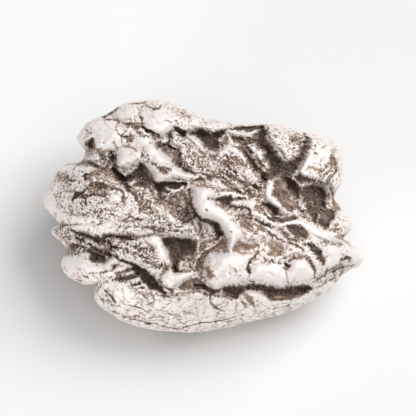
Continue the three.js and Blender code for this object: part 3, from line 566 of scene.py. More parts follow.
form("crown creases", -0.25, 0.15,
    [(-10.8, 8.3, 0.08), (-9.8, 8.5, 0.1), (-8.8, 8.4, 0.14), (-8.3, 7.8, 0.1)],
    [(-10.75, 11.6, 0.08), (-10.9, 10.8, 0.12), (-10.6, 10, 0.14), (-9.9, 9.6, 0.12)],
    [(-11.1, 9.3, 0.08), (-11, 8.6, 0.12), (-10.7, 8, 0.12)],
    [(-6.6, 9, 0.1), (-6, 8.9, 0.14), (-5.4, 9.2, 0.12)],
    [(-7.2, 7.9, 0.08), (-6.9, 7.2, 0.12), (-6.9, 6.6, 0.12)],
    [(-14.1, 11, 0.08), (-14.3, 10.2, 0.12), (-14, 9.9, 0.1)],
    [(-12.4, 12.1, 0.08), (-11.4, 11.7, 0.1), (-10.6, 11.6, 0.08)], stain=0.5, grit=0.5)
print(len(forms), "forms so far")

# %% [markdown]
# ## Steps and grooves of the west slab
#
# The west slab is a stack of thin plates, and each plate ends in a low step with a dark foot.

# %% Hollows of the west slab
form("basin", -0.9, 0.7, [(-5.6, 3), (-4.6, 2.6), (-3.4, 2.9), (-1.9, 3.2), (-1.6, 1.8), (-1.2, 0.5),
    (-1, -0.2), (-1.5, -0.7), (-2.3, -0.8), (-3.4, -0.3), (-4.1, 0.4), (-4.9, 0.9), (-5.4, 1.2), (-5.8, 2)],
    stain=0.3, grit=0.6)
form("basin step", -0.39, 0.35, [(-9, 3.9), (-8, 4.1), (-7, 4), (-6.3, 3.6), (-5.5, 3), (-4.8, 2.4),
    (-5.2, 1.2), (-5.8, 1.7), (-6.5, 2.6), (-7.4, 3.4), (-8.5, 3.5)], stain=0.22, grit=1)
form("west step", -0.3, 0.3, [(-15.1, 5), (-14.5, 5.2), (-13.4, 5.5), (-12, 5.9), (-12, 5.3), (-13.2, 5),
    (-14.1, 4.8), (-14.2, 4.3), (-14.7, 4.2)], stain=0.5, grit=0.6)
form("step brow", -0.3, 0.15,
    [(-14.2, 4.3, 0.1), (-14.65, 4.4, 0.2), (-14.9, 4.9, 0.16), (-14, 5.3, 0.07), (-12.8, 5.65, 0.06)],
    [(-12.5, 4.1, 0.05), (-12.1, 3.6, 0.08), (-11.8, 2.8, 0.05)], stain=0.8)
form("west recess", -0.35, 0.3, [(-14.3, 4.1), (-13.6, 4.2), (-12.3, 4.1), (-12, 3.4), (-11.8, 2.6),
    (-12.3, 2.4), (-13, 2.2), (-14.5, 2), (-15.2, 2), (-15, 2.6), (-14.5, 2.9), (-14.3, 3.5)], stain=0.44,
    grit=0.5)
form("west hook", -0.5, 0.22, [(-14.3, 3.6, 0.06), (-14.7, 3, 0.1), (-15.2, 2.75, 0.2), (-15.8, 2.65, 0.25),
    (-16.1, 2.3, 0.22), (-16.35, 1.9, 0.16), (-16.2, 1.6, 0.1)], [(-15.3, 1.45, 0.1), (-14.8, 1.2, 0.06)],
    stain=0.85)
form("plate step", -0.33, 0.3, [(-9.8, 3.8), (-9.3, 3.2), (-8.9, 2.6), (-8.6, 2), (-8.1, 1.6), (-8, 1.1),
    (-8.3, 0.4), (-6.8, 0), (-5.6, 0.4), (-5.6, 1.2), (-6.4, 2.4), (-7.4, 3.3), (-8.6, 3.5)], stain=0.32)
form("plate grooves", -0.26, 0.15,
    [(-11.8, 3, 0.1), (-11, 3.25, 0.12), (-10.3, 3, 0.14), (-9.95, 2.3, 0.12), (-10, 1.6, 0.08)],
    [(-11.5, 0.2, 0.08), (-10.5, -0.2, 0.1), (-9.9, -0.5, 0.1), (-9, -0.2, 0.1), (-8.2, -0.4, 0.1),
    (-7.6, -0.7, 0.06)], [(-10.4, -1.1, 0.06), (-10.8, -1.9, 0.1)], stain=0.66)
print(len(forms), "forms so far")

# %% [markdown]
# ## Round the spine
#
# The spine throws a deep groove along its left side, and the pits and channels beside it run into that
# groove.

# %% Hollows round the spine
form("spine shadow", -0.9, 0.35, [(-1.7, 3.1, 0.2), (-1.6, 1.6, 0.28), (-1, 0.3, 0.3), (-0.2, -0.5, 0.3),
    (0.9, -0.8, 0.4), (1.8, -1.4, 0.5), (2.1, -2.2, 0.45), (1.9, -2.8, 0.2)], stain=0.72)
form("crook", -0.5, 0.5, [(-0.7, -0.6), (0.4, -0.9), (1.5, -1.1), (2.2, -1.8), (2.4, -2.6), (1.8, -2.9),
    (0.6, -2.7), (-0.5, -2.9)], stain=0.1, grit=0.4)
form("centre pit", -2, 0.6, [(-5.1, -2.7), (-3.5, -2.6), (-2.5, -2.7), (-1.4, -2.75), (-0.8, -3),
    (-0.8, -3.8), (-1, -4.4), (-1.4, -4.9), (-2.3, -5.1), (-2.9, -5.5), (-3.1, -6.1), (-3.1, -6.9),
    (-4, -6.9), (-4.1, -6), (-4.1, -5.2), (-4.3, -4.5), (-4.7, -3.9), (-5.2, -3.3)], stain=0.6)
form("pit channel", -0.59, 0.25, [(-3.6, -6.2, 0.16), (-3.4, -6.8, 0.22), (-2.8, -7, 0.12)],
    [(-2, -5.7, 0.06), (-1.4, -6.5, 0.12), (-1.1, -6.9, 0.08)], stain=0.85)
form("funnel", -0.4, 1, [(-0.8, -2.9), (2.9, -2.9), (2.9, -3.7), (2.3, -4.2), (0.9, -4.6), (0, -5.6),
    (-0.1, -6.8), (0, -7.7), (-0.8, -7.4), (-1, -6), (-2, -5), (-1, -4)], stain=0.18)
form("funnel fold", -0.3, 0.3,
    [(2.4, -3.1, 0.1), (1.2, -4, 0.2), (0.2, -4.7, 0.3), (-0.6, -5.6, 0.3), (-0.9, -6.7, 0.2)], stain=0.42)
form("spine hollow", -0.8, 0.35,
    [(1.2, 2), (1.9, 2.3), (2.8, 2.4), (3.5, 2.5), (3.7, 1.9), (3.4, 1.3), (2.5, 1.2), (1.7, 1.6)],
    [(3.8, 2.05, 0.14), (4.6, 2.15, 0.16), (5.2, 2.1, 0.12)],
    [(3.2, 1.15, 0.14), (4.2, 1, 0.14), (5.2, 0.95, 0.16)], stain=0.8)
form("block crack", -0.39, 0.15, [(4.6, 0.8, 0.12), (5.6, 0.8, 0.15), (5.9, 0.5, 0.15), (5.7, 0.1, 0.1)],
    stain=0.85)
form("crest recess", -0.2, 0.42,
    [(2.3, 6.5), (2.7, 7.2), (3.9, 7.4), (4.6, 7.2), (5.2, 6.5), (4.8, 6), (3.6, 6.1)], stain=0.24, grit=1)
form("crest slope", -0.28, 0.45, [(4.3, 8.7), (5.2, 8.8), (5.9, 8.2), (6.4, 7.2), (7.2, 6.7), (7.9, 6),
    (8, 5.2), (7.6, 4), (7.1, 4.1), (6.4, 5), (5.8, 6.1), (5.1, 7.2), (4.6, 7.9)], stain=0.5, grit=0.8)
form("edge channel", -0.25, 0.25,
    [(0, 7.8, 0.15), (1.2, 7.2, 0.2), (2, 6.6, 0.2), (2.9, 6, 0.2), (4, 5.3, 0.15)], stain=0.36, grit=1)
form("swoosh hollow", -0.7, 0.4, [(3.2, 9.9), (4.5, 9.7), (5.3, 9.5), (6.2, 9.8), (6.7, 9.4), (6.5, 8.8),
    (5.8, 8.8), (5, 8.6), (4.4, 8.7), (3.4, 9.2)], stain=0.6, grit=1)
form("pores", -0.23, 0.15, [(0.3, 0.7, 0.15), (0.45, 0.7, 0.15)], [(3.35, -2, 0.15), (3.5, -2, 0.15)],
    [(0.55, 2.1, 0.15), (0.7, 2.1, 0.15)], [(-13.95, -0.7, 0.12), (-13.8, -0.7, 0.12)],
    [(-13.05, -1, 0.12), (-12.9, -1, 0.12)], [(-14.85, -0.5, 0.12), (-14.7, -0.5, 0.12)],
    [(-18.5, 0.9, 0.12), (-18.4, 0.9, 0.12)], [(13.8, 7.8, 0.12), (14.2, 7.7, 0.12)],
    [(16.2, -6.8, 0.2), (16.4, -6.8, 0.2)], [(17.2, -6.5, 0.2), (17.4, -6.5, 0.2)],
    [(15.3, -6.8, 0.2), (15.5, -6.8, 0.2)], [(16.2, 5.1, 0.1), (16.8, 5.7, 0.1)], stain=0.7)
print(len(forms), "forms so far")

# %% [markdown]
# ## The south
#
# A long gap parts the knuckles from the southern band, and a chasm with a fringe of small slits parts the
# lobe from it.

# %% Hollows of the south and the lobe
form("south-west chasm", -1.7, 0.5, [(-8.6, -5.9), (-8, -6.2), (-7, -6.8), (-6.2, -7.3), (-5.6, -7.8),
    (-5.3, -8.4), (-5, -9.2), (-4.5, -9.5), (-4, -9.5), (-4.8, -9.7), (-6, -9.2), (-6.9, -9.1), (-7.2, -8.6),
    (-7.8, -8), (-8, -7.6), (-8.4, -7.2), (-8.7, -6.8), (-8.7, -6.3)], stain=0.84, grit=0.5)
form("chasm fan", -0.3, 0.25,
    [(-11.7, -7.25, 0.06), (-10.5, -7, 0.16), (-9.3, -6.6, 0.22), (-8.5, -6.4, 0.3)],
    [(-11.5, -8, 0.08), (-10.5, -7.8, 0.16), (-9.3, -7.45, 0.22), (-8.3, -7.2, 0.3)],
    [(-9.6, -8.6, 0.05), (-8.5, -8.4, 0.1), (-7.8, -8.2, 0.1)],
    [(-9, -9, 0.05), (-8, -8.9, 0.08), (-7.4, -8.8, 0.1)], stain=0.62)
form("lobe hollow", -0.3, 0.7, [(-16.1, -2.3), (-14.6, -2.9), (-12.8, -3.1), (-11.2, -2.8), (-10.4, -4),
    (-11, -5), (-12, -5.4), (-13.4, -5.8), (-14.8, -4.8), (-15.7, -4.6)], stain=0.25, grit=1)
form("lip shadow", -0.6, 0.3, [(-16.6, -1.8, 0.1), (-15.8, -2.15, 0.22), (-14.7, -2.5, 0.3),
    (-13.4, -2.9, 0.36), (-12.4, -2.7, 0.3), (-11.4, -2.4, 0.26)],
    [(-12.6, -3, 0.3), (-11.6, -3.3, 0.36), (-10.8, -3.6, 0.2), (-10.2, -3.9, 0.08)],
    [(-11.4, -2.45, 0.08), (-10.4, -2.6, 0.2), (-9.4, -2.8, 0.26), (-8.8, -3, 0.14)], stain=0.5, grit=0.3)
form("lobe pit", -0.5, 0.3, [(-14.6, -4.4), (-14.3, -3.6), (-14.6, -3.1), (-13.6, -3.4), (-12.8, -3.9),
    (-12, -4.4), (-11, -4.8), (-10.9, -5.2), (-12, -5.1), (-12.3, -5.6), (-12.9, -5.8), (-13.8, -5.5),
    (-14.3, -5)], stain=0.44, grit=0.5)
form("lobe pores", -0.3, 0.3, [(-16, -3.5, 0.3), (-15.4, -3.6, 0.35)],
    [(-16.3, -3.9, 0.12), (-16.1, -5, 0.1)], [(-16, -4.8, 0.1), (-15, -4.5, 0.2), (-14.4, -4.3, 0.15)],
    stain=0.4, grit=1)
form("slab channel", -0.5, 0.2,
    [(-10.9, -5.2, 0.12), (-10.2, -5.55, 0.22), (-9.4, -5.8, 0.2), (-8.6, -6, 0.25)],
    [(-10.6, -5.8, 0.05), (-11.1, -6.4, 0.1), (-11.6, -7, 0.08)], stain=0.65)
form("lobe slits", -0.22, 0.12, [(-15, -7.6, 0.12), (-14.4, -7.6, 0.15)],
    [(-14.6, -7.1, 0.06), (-13.6, -7.1, 0.1), (-12.2, -6.95, 0.1), (-11.6, -6.85, 0.08)],
    [(-14, -5.9, 0.05), (-13.2, -6.05, 0.1), (-12.6, -6, 0.06)], [(-17.5, -6.4, 0.1), (-17.2, -6.8, 0.1)],
    [(-15.9, -8, 0.1), (-15.2, -8.2, 0.1)], stain=0.55)
form("south gap", -1.1, 0.5, [(1.2, -9.1), (2, -9), (3.2, -8.7), (4.2, -8.6), (5.3, -8.35), (6.5, -8.3),
    (7.6, -8.45), (9, -8.7), (9.8, -8.7), (10.8, -8.5), (12, -8.45), (13.1, -8.45), (13.6, -9), (12.8, -9.6),
    (11.9, -9.95), (10.8, -10.15), (9.5, -10.2), (8.4, -10.3), (7.6, -9.8), (7, -9.4), (6, -9.1),
    (5.2, -9.2), (4.8, -9.5), (4.5, -9.9), (4, -10.2), (3.4, -10.1), (2.8, -9.8), (2.2, -9.4), (1.5, -9.4)],
    stain=0.82, grit=0.6)
form("gap tail", -0.5, 0.3, [(-1.2, -8.5, 0.2), (-0.2, -8.6, 0.25), (0.6, -9, 0.3), (1.3, -9.5, 0.25)],
    stain=0.6)
form("wedge recess", -0.65, 0.42,
    [(-3.4, -8.9), (-2.2, -8), (-1, -7.6), (0.3, -8.2), (0.4, -9), (-1.2, -9.1), (-2.5, -9.2)], stain=0.34)
form("band grooves", -0.14, 0.12,
    [(-12.9, -8.9, 0.05), (-12, -9.6, 0.08), (-11.3, -10.3, 0.14), (-11, -10.8, 0.14)],
    [(-13.4, -9.4, 0.05), (-12.9, -10.1, 0.08), (-12.4, -10.9, 0.1)],
    [(-10.3, -10.9, 0.05), (-9, -11.1, 0.07), (-8, -11.3, 0.12), (-7.4, -11.6, 0.1), (-6.7, -12.1, 0.05)],
    [(-7.3, -11.1, 0.05), (-6.6, -10.8, 0.1), (-6.1, -10.7, 0.06)],
    [(-11.8, -11.9, 0.05), (-10.8, -12.1, 0.09), (-10, -12.3, 0.05)], [(-10, -12.5, 0.06),
    (-9.2, -12.8, 0.12), (-8.4, -13, 0.1), (-7.6, -13.1, 0.08), (-7, -13.4, 0.14), (-6.2, -13.4, 0.08)],
    [(-5.8, -12.4, 0.05), (-5, -12.7, 0.09)],
    [(-4.6, -12.1, 0.05), (-3.6, -12.3, 0.08), (-2.6, -12.6, 0.05)], [(-6, -13.4, 0.06), (-4.4, -13.9, 0.1),
    (-3, -14, 0.1), (-1.8, -13.6, 0.08), (0, -13.2, 0.1), (2, -13, 0.12), (3.6, -12.7, 0.08)],
    [(0.8, -9.7, 0.14), (0.9, -10.8, 0.12), (1.7, -11.4, 0.12), (2.8, -11.9, 0.06)], stain=0.8)
print(len(forms), "forms so far")

# %% [markdown]
# ## The east
#
# In the east the plates are cracked along their edges, with flat-floored facets between them.

# %% Hollows of the east
form("heel crescent", -0.4, 0.15,
    [(5.9, -5.3, 0.1), (5.55, -6, 0.14), (5.45, -6.6, 0.15), (5.7, -7.1, 0.14), (5.95, -7.1, 0.1)],
    stain=0.7)
form("knuckle pit", -0.5, 0.2, [(10.1, -5.9, 0.15), (10.4, -6.2, 0.22), (10.7, -6.1, 0.2)], stain=0.75)
form("knuckle crack", -0.14, 0.12, [(10, -6.6, 0.06), (10.2, -7.2, 0.08), (10.6, -8.2, 0.1)],
    [(10.1, -5.4, 0.08), (10.6, -5.1, 0.1), (11.4, -5, 0.08)], stain=0.36)
form("fork hole", -1, 0.35, [(7, 1.8), (8.2, 1.6), (9.2, 1.1), (9.4, 0), (8.7, 0), (8.3, 0.6), (7.6, 1.1)],
    stain=0.85)
form("fork facet", -0.5, 0.6, [(8.7, 3.9), (8.9, 4.6), (10.3, 4.7), (10.3, 3.9), (11, 3.2), (11.8, 2.4),
    (12, 1.5), (11.8, 0.9), (10.9, 0.3), (10.2, 0.8), (9.3, 1.9), (8.5, 2.4)], stain=0.46, grit=0.2)
form("fork band", -0.4, 0.3, [(6.9, 1.7), (7.6, 0.6), (8, -0.1), (9.6, -0.2), (11.8, -0.1), (11.4, -0.5),
    (10.5, -0.7), (9.4, -0.9), (8.6, -0.7), (7.6, 0.1), (6.9, 0.9)], stain=0.8, grit=0.6)
form("bar crack", -0.33, 0.15, [(6.3, -0.5, 0.12), (7.2, -0.9, 0.16), (8.3, -1.35, 0.12)], stain=0.75)
form("long crack", -0.26, 0.12, [(7.9, -1.9, 0.12), (8.6, -2.4, 0.12), (9.4, -2.9, 0.12), (10.2, -3.2, 0.1)],
    [(10.2, -3.2, 0.06), (11, -3.4, 0.06), (11.8, -3.8, 0.08), (12.4, -4.3, 0.08), (12.9, -5, 0.08),
    (13.3, -5.6, 0.08), (13.7, -6.3, 0.1), (13.9, -7, 0.1), (13.9, -7.8, 0.08)], stain=0.58)
form("arch hollow", -0.45, 0.42, [(10.3, -1.1), (11.3, -1.05), (12.3, -1.4), (13, -1.9), (13.1, -2.6),
    (12.8, -3), (12, -2.9), (11.2, -2.5), (10.5, -1.8)], stain=0.5, grit=0.1)
form("strip hollow", -0.5, 0.3, [(12.9, -3.4), (13.8, -3.4), (14.5, -3.9), (14.8, -4.4), (15.1, -5),
    (15.2, -5.8), (14.9, -6.2), (14.3, -5.6), (13.8, -4.9), (13.3, -4.2)], stain=0.5, grit=0.9)
form("knob hollow", -0.5, 0.4, [(14.5, 0.6), (15.2, 0.9), (16.6, 0.6), (16.3, 0), (16, -0.6), (15.6, -1.2),
    (15.3, -1.6), (14.6, -1.2), (14.1, -0.9), (14.4, -0.2)], stain=0.66, grit=0.2)
form("knob wedge", -0.33, 0.35, [(16.2, 2.3), (16.9, 1.4), (17.3, 0.8), (16.6, 0.5), (16, 0.9)], stain=0.35)
form("shelf facet", -0.3, 0.42, [(8.3, -2.9), (9.8, -3.3), (10, -4), (9.8, -4.8), (9, -5.1), (8, -4.9)],
    stain=0.2, gloss=0.7)
form("shelf crease", -0.26, 0.2, [(6.9, -3.8, 0.12), (6.8, -4.5, 0.16), (6.2, -5.2, 0.14)], stain=0.5)
form("shelf groove", -0.3, 0.3, [(3.7, -4.1, 0.3), (4.6, -3.9, 0.4), (5.6, -3.9, 0.4), (6.9, -3.7, 0.2)],
    stain=0.26)
form("tip slit", -0.39, 0.2, [(17.1, -5.5, 0.15), (18.4, -5.2, 0.2)], stain=0.9)
print(len(forms), "forms so far")

# %% [markdown]
# ## Spurs
#
# A few small bright pieces stand up out of the hollows, so they come after them.

# %% Spurs
form("shard", 0.8, 0.22,
    [(-4.75, 3.6, 0.15), (-4.35, 3.1, 0.25), (-3.6, 2.95, 0.25), (-2.9, 3.15, 0.22), (-2.5, 3.5, 0.2)],
    gloss=0.9)
form("valley ball", 0.4, 0.35, [(-9.1, 3.95, 0.36), (-8.9, 3.9, 0.36)],
    [(-8.8, 4.3, 0.14), (-8.2, 4.9, 0.16)])
form("hollow bar", 0.3, 0.25, [(3.4, 1.6, 0.25), (4.4, 1.5, 0.3), (5.3, 1.5, 0.25)], gloss=0.3)
form("pit block", 0.41, 0.4,
    [(-3.2, -5.6), (-2.2, -5.2), (-1.2, -6), (-1.1, -6.9), (-2.4, -6.9), (-3.1, -6.4)], stain=0.25)
form("crest spike", 0.35, 0.3, [(5.4, 6.2), (5.6, 5.6), (6, 4.9), (6.4, 4.3), (6.9, 3.7), (6.7, 3.5),
    (6.1, 3.9), (5.5, 4.5), (5, 5.1), (5.2, 5.6)], gloss=0.3, grit=0.6)
form("slope block", 0.34, 0.4,
    [(5.4, 8.5), (6.1, 8.8), (6.8, 8.4), (7.3, 8), (7.4, 7.2), (6.8, 6.9), (6.2, 7.1), (5.8, 7.7)],
    stain=0.2, gloss=0.1, grit=1)
form("slope foot", 0.34, 0.35,
    [(6.3, 7.3), (7.4, 7.3), (7.9, 6.7), (8.2, 6.2), (8.1, 5.7), (7.5, 5.5), (6.9, 6.2)], gloss=0.3, grit=1)
form("leaf", 0.34, 0.35, [(-12, -7.3, 0.25), (-10.8, -6.8, 0.4), (-9.3, -6.3, 0.2)], gloss=0.8)
form("north swoosh", 0.7, 0.28,
    [(3.1, 10.5, 0.2), (4, 10.2, 0.3), (5.2, 9.95, 0.32), (6, 10, 0.25), (6.6, 10.5, 0.16)], gloss=1)
form("knob edge", 0.5, 0.25, [(16.15, 3.4, 0.16), (15.95, 2.2, 0.2), (16, 1.2, 0.14)], gloss=0.7)
form("boulder collar", 0.27, 0.2, [(11.2, 4.8, 0.15), (11.5, 4.2, 0.2), (12.2, 3.7, 0.15)], gloss=0.2)
form("wedge", 0.82, 0.5, [(-5.4, -7.7), (-4.9, -7), (-3.8, -6.9), (-2.4, -6.9), (-1.1, -7), (-1.3, -7.4),
    (-2.1, -7.9), (-3, -8.4), (-3.8, -9), (-4.3, -9.1), (-4.8, -8.6)], gloss=1)
form("fork bar", 0.82, 0.45, [(8.65, 3.95, 0.22), (8.15, 3.3, 0.42), (7.95, 2.5, 0.42), (8.4, 1.8, 0.45),
    (9.3, 1.2, 0.48), (10.1, 0.4, 0.4)], gloss=1)
form("east sliver", 0.3, 0.2, [(11.5, 2.25, 0.15), (11.9, 2, 0.25)], [(12.4, 0.7, 0.15), (12.8, 0.2, 0.2)],
    gloss=0.3, grit=0.6)
form("arm floor", 1, 0.3, [(11.9, 7.2), (12.3, 8.3), (12.7, 9.2), (12.9, 9), (12.8, 7.8), (12.2, 6.7)])
form("underside ledge", 0.7, 0.4, [(13.7, 4.4, 0.35), (15.6, 4, 0.5)], grit=1)
print(len(forms), "forms so far")

# %% [markdown]
# ## Stains without relief
#
# Rust also lies on surfaces that are no deeper than their neighbours. These forms have no rise, so they
# change the colour and not the shape. They are laid in coats: broad tans and rusts first, as a painter
# would.

# %% First coat of stains
form("crown rust", 0, 0.5, [(-2.4, 12.8, 0.5), (-1.8, 11.6, 0.5)], [(-9.6, 11.2, 0.4), (-8.4, 10.9, 0.4)],
    stain=0.36, grit=1)
form("neck tan", 0, 0.8, [(-14.4, 6.9, 0.6), (-13.4, 6.6, 0.8)], stain=0.12, grit=1)
form("bar rust", 0, 0.6, [(-5.4, 5.4, 0.5), (-4.6, 5.1, 0.5)], stain=0.3)
form("upper tan", 0, 0.5, [(-0.9, 3.7, 0.4), (0.5, 3.6, 0.4)], stain=0.4)
form("west tan", 0, 0.5, [(-16, 6.1, 0.4), (-15.8, 6.1, 0.4)], [(-18, 4.9, 0.9), (-16.8, 4.6, 0.9)],
    stain=0.28, grit=1)
form("slab rust", 0, 0.3,
    [(-7, -6.1), (-5, -5.8), (-3.9, -6), (-3.8, -6.8), (-4.4, -7), (-5.2, -6.6), (-6.4, -6.6)],
    [(-6, -2.1, 0.3), (-5.2, -2.1, 0.3)], stain=0.46, grit=0.6)
form("tongue tan", 0, 0.6, [(-18.8, -2, 0.5), (-17.4, -2.6, 0.9), (-16.6, -3.4, 0.9)], stain=0.28, grit=1)
form("heel tan", 0, 0.8, [(0.5, -6.5, 0.7), (0.9, -7.4, 0.85)], stain=0.6, grit=0.3)
form("boulder rust", 0, 0.4, [(15.8, 7.6), (16.6, 7.5), (17, 6.4), (17.1, 5.4), (16.4, 5), (15.6, 5.8)],
    stain=0.46, grit=1)
form("knob rust", 0, 0.4, [(16, -0.8, 0.4), (16.6, -1.2, 0.5), (16.2, -1.8, 0.4)], stain=0.4, grit=1)
form("gap rim rust", 0, 0.35,
    [(7.9, -10.1, 0.3), (8.8, -10.4, 0.35), (10, -10.3, 0.35), (11.6, -10, 0.35), (13.2, -9.4, 0.3)],
    stain=0.62, grit=0.8)
form("gap ramp", 0, 0.3, [(4.5, -8.9, 0.2), (5, -9.5, 0.45), (5.7, -10.4, 0.5), (6.4, -11.2, 0.3)],
    stain=0.46, grit=0.4)
form("east band rust", 0, 0.5, [(17.5, -6.8, 0.3), (16, -8, 0.3), (14, -9.2, 0.25)],
    [(14.3, -7, 0.3), (14.6, -8, 0.3)], stain=0.4)
form("webbing tan", 0, 0.5, [(4.3, -3.4, 0.3), (5.6, -3.2, 0.4)],
    [(6.2, -0.9, 0.4), (7.4, -1.4, 0.4), (8, -2, 0.3)], stain=0.3, grit=0.8)
form("apron rust", 0, 0.6,
    [(-12.6, 7.5), (-11.2, 7.9), (-10.8, 7.4), (-10.7, 5.6), (-12, 5.8), (-13.2, 6.4)], stain=0.3, grit=1)
form("apron pits", 0, 0.3, [(-10.9, 7.8, 0.1), (-10.7, 7, 0.12), (-10.7, 6.2, 0.1)],
    [(-10, 6.3, 0.06), (-9.95, 5.6, 0.1), (-9.8, 5, 0.14)], [(-12.6, 6.7, 0.12), (-12.2, 5.9, 0.2)],
    stain=0.7)
form("valley dark", 0, 0.4, [(-9.1, 5.3), (-8.3, 6.1), (-7.8, 6.9), (-7.4, 6.3), (-7.7, 5.5), (-8.6, 4.8),
    (-8.9, 4.2), (-10.6, 4.1), (-10.8, 4.9), (-9.8, 5)],
    [(-6.3, 4.1), (-2.2, 4.05), (-2.4, 3.6), (-4.6, 3.6), (-5.4, 3.1), (-6.2, 3.3)],
    [(-8.2, 4.4, 0.3), (-7, 4.2, 0.4), (-6.4, 3.6, 0.3)], stain=0.9)
form("valley rust", 0, 0.3, [(-7.6, 5.4, 0.35), (-7, 5, 0.35)], stain=0.6)
form("bar foot rust", 0, 0.4, [(-6.9, 6.7, 0.2), (-6, 6.2, 0.3)],
    [(-5.8, 5.9, 0.3), (-4.8, 5.8, 0.4), (-3.9, 5.5, 0.35)], [(-5.2, 5.3, 0.3), (-4.3, 5.1, 0.25)],
    stain=0.5, grit=1)
form("swoosh oval", 0, 0.2, [(5.2, 10.5, 0.22), (6.2, 10.6, 0.25)], stain=0.75)
form("swoosh dark", 0, 0.4, [(5.3, 9.1), (5.4, 9.6), (6.3, 9.8), (6.7, 9.2), (6.5, 8.8), (5.8, 8.8)],
    stain=0.85)
print(len(forms), "forms so far")

# %% [markdown]
# ## Gritty stains
#
# The second coat is the gritty brown of the slabs and of the steps between them, with the brinks of the
# hollows.

# %% Second coat of stains
form("block grit", 0, 0.4,
    [(10.3, 9.6), (10.9, 10.2), (11.8, 10.4), (12.6, 9.9), (12.2, 9.2), (11.7, 8.5), (11, 8.6), (10.8, 9)],
    [(8.8, 9.8, 0.35), (9.4, 9.5, 0.35)], stain=0.5, grit=1)
form("boulder swirl", 0, 0.25, [(13, 6, 0.3), (13.8, 5.8, 0.35), (14.5, 5.6, 0.3), (14.8, 6, 0.2)],
    stain=0.4, grit=0.6)
form("middle grit", 0, 0.7, [(-3.2, 9.3), (-1.6, 9), (-0.4, 8), (1, 7), (2.2, 6.2), (3.8, 5.4), (3.6, 4.6),
    (0, 5), (-1.6, 5.6), (-2.6, 7)], stain=0.2, grit=1)
form("streak grit", 0, 0.6, [(0.4, 6.2), (2.6, 6), (4.6, 4.8), (5.4, 5), (7.4, 3.4), (7.4, 2.4), (5, 2.5),
    (4.2, 3.3), (2.4, 4.4), (1.6, 4.9), (-0.2, 5.2)], stain=0.34, grit=1)
form("plate grit", 0, 0.6, [(-9.4, 3.6), (-8, 3.6), (-7, 3.2), (-6.2, 2.2), (-5.6, 0.8), (-4.2, 0.5),
    (-3.4, -0.4), (-1.2, -0.9), (-0.8, -2.5), (-8.4, -2.2), (-9.5, -1.2), (-8, 0.2), (-8.2, 1.8)],
    stain=0.16, grit=1)
form("basin brown", 0, 0.6, [(-2.6, 2.9, 0.5), (-2.1, 1.6, 0.6), (-1.9, 0.4, 0.6), (-2.5, -0.4, 0.4)],
    [(-5.9, 3.4, 0.3), (-5.4, 2.6, 0.35)], stain=0.62, grit=0.6)
form("pit dark", 0, 0.5, [(-3.7, -2.6), (-1.2, -2.7), (-1.3, -4), (-2, -4.8), (-3, -4.9), (-3.3, -3.7)],
    stain=1)
form("pit block rust", 0, 0.6,
    [(-2.6, -5), (-1.2, -4.4), (-0.6, -5.4), (-0.9, -6.9), (-3.1, -6.9), (-3.2, -6)], stain=0.46, grit=1)
form("lower slab grit", 0, 0.5, [(-11, -2.8), (-8.2, -3), (-7.2, -3.4), (-6.2, -3.8), (-5.4, -5.2),
    (-4.5, -5.8), (-4.8, -6.9), (-6.9, -6.4), (-8.6, -5.6), (-11, -4.4)], stain=0.2, grit=1)
form("chasm wall rust", 0, 0.5,
    [(8.3, 9), (8.9, 8.6), (9.7, 7.5), (10.1, 6.9), (9.4, 7), (8.4, 8), (7.9, 8.8)], stain=0.7)
form("facet olive", 0, 0.2,
    [(8.6, 2.3), (8.8, 4.5), (10.2, 4.7), (10.3, 3.8), (10.9, 3.1), (11.5, 2.4), (10.6, 2.2), (9.8, 2.4)],
    stain=0.62)
form("step plate", 0, 0.5, [(-14.6, 4.4), (-12, 4.7), (-10.8, 5.2), (-10, 4.4), (-9.6, 3.6), (-9, 2.6),
    (-10, 2.8), (-11.6, 3.2), (-12.2, 4.2)], stain=0.4, grit=1)
form("step rust", 0, 0.5,
    [(-13, 5.6), (-11.6, 6), (-10.6, 5), (-10, 4), (-9.4, 3), (-10.4, 3), (-11.4, 4.2), (-12.6, 4.6)],
    stain=0.52, grit=1)
form("pit brink", 0, 0.12, [(-14.4, -4.7, 0.16), (-13.9, -5.4, 0.2), (-13, -5.75, 0.2), (-12.4, -5.5, 0.14)],
    [(-14.6, -3.2, 0.1), (-13.6, -3.5, 0.1), (-12.8, -4, 0.1)], [(-12.2, -4.8, 0.24), (-11.2, -5, 0.2)],
    stain=0.6, grit=0.6)
form("band fringe", 0, 0.3, [(-7.4, -9.4, 0.2), (-6, -9.7, 0.25), (-4.9, -10, 0.3), (-3.2, -9.6, 0.4),
    (-2, -9.6, 0.35), (-0.4, -9.2, 0.25), (1, -9.8, 0.3), (2.6, -9.9, 0.3), (3.6, -10.4, 0.25)], stain=0.5,
    grit=1)
form("pit wall grit", 0, 0.3,
    [(13.4, 5.2), (14.6, 5.6), (15.8, 6.4), (16.4, 5.4), (16.2, 3.4), (15.6, 3.7), (14.4, 4.1), (13.4, 4.1)],
    stain=0.2, grit=1)
form("arch brink", 0, 0.15, [(11, -2.9, 0.1), (12.2, -3.1, 0.15), (13, -2.7, 0.15), (13.1, -2.1, 0.1)],
    [(12.8, -3.5, 0.2), (13.5, -3.5, 0.2), (14.2, -4, 0.15)], stain=0.66)
form("corner grit", 0, 0.5, [(5.8, 4.3), (7.4, 4.6), (7.9, 4.2), (7.7, 2.6), (6.4, 2.4), (5.4, 2.6)],
    [(4.4, -0.1), (6, 0.1), (6.8, -0.5), (6, -1), (4.8, -1)], stain=0.34, grit=1)
form("spot rust", 0, 0.35, [(-10.5, -0.3, 0.35), (-9.5, -0.7, 0.35)], [(-6.4, -1.6, 0.4), (-5, -2, 0.45)],
    [(-1.3, -0.8, 0.35), (-0.9, -1.9, 0.4)], [(9.3, -1.4, 0.3), (10.5, -2.3, 0.45)], stain=0.62, grit=1)
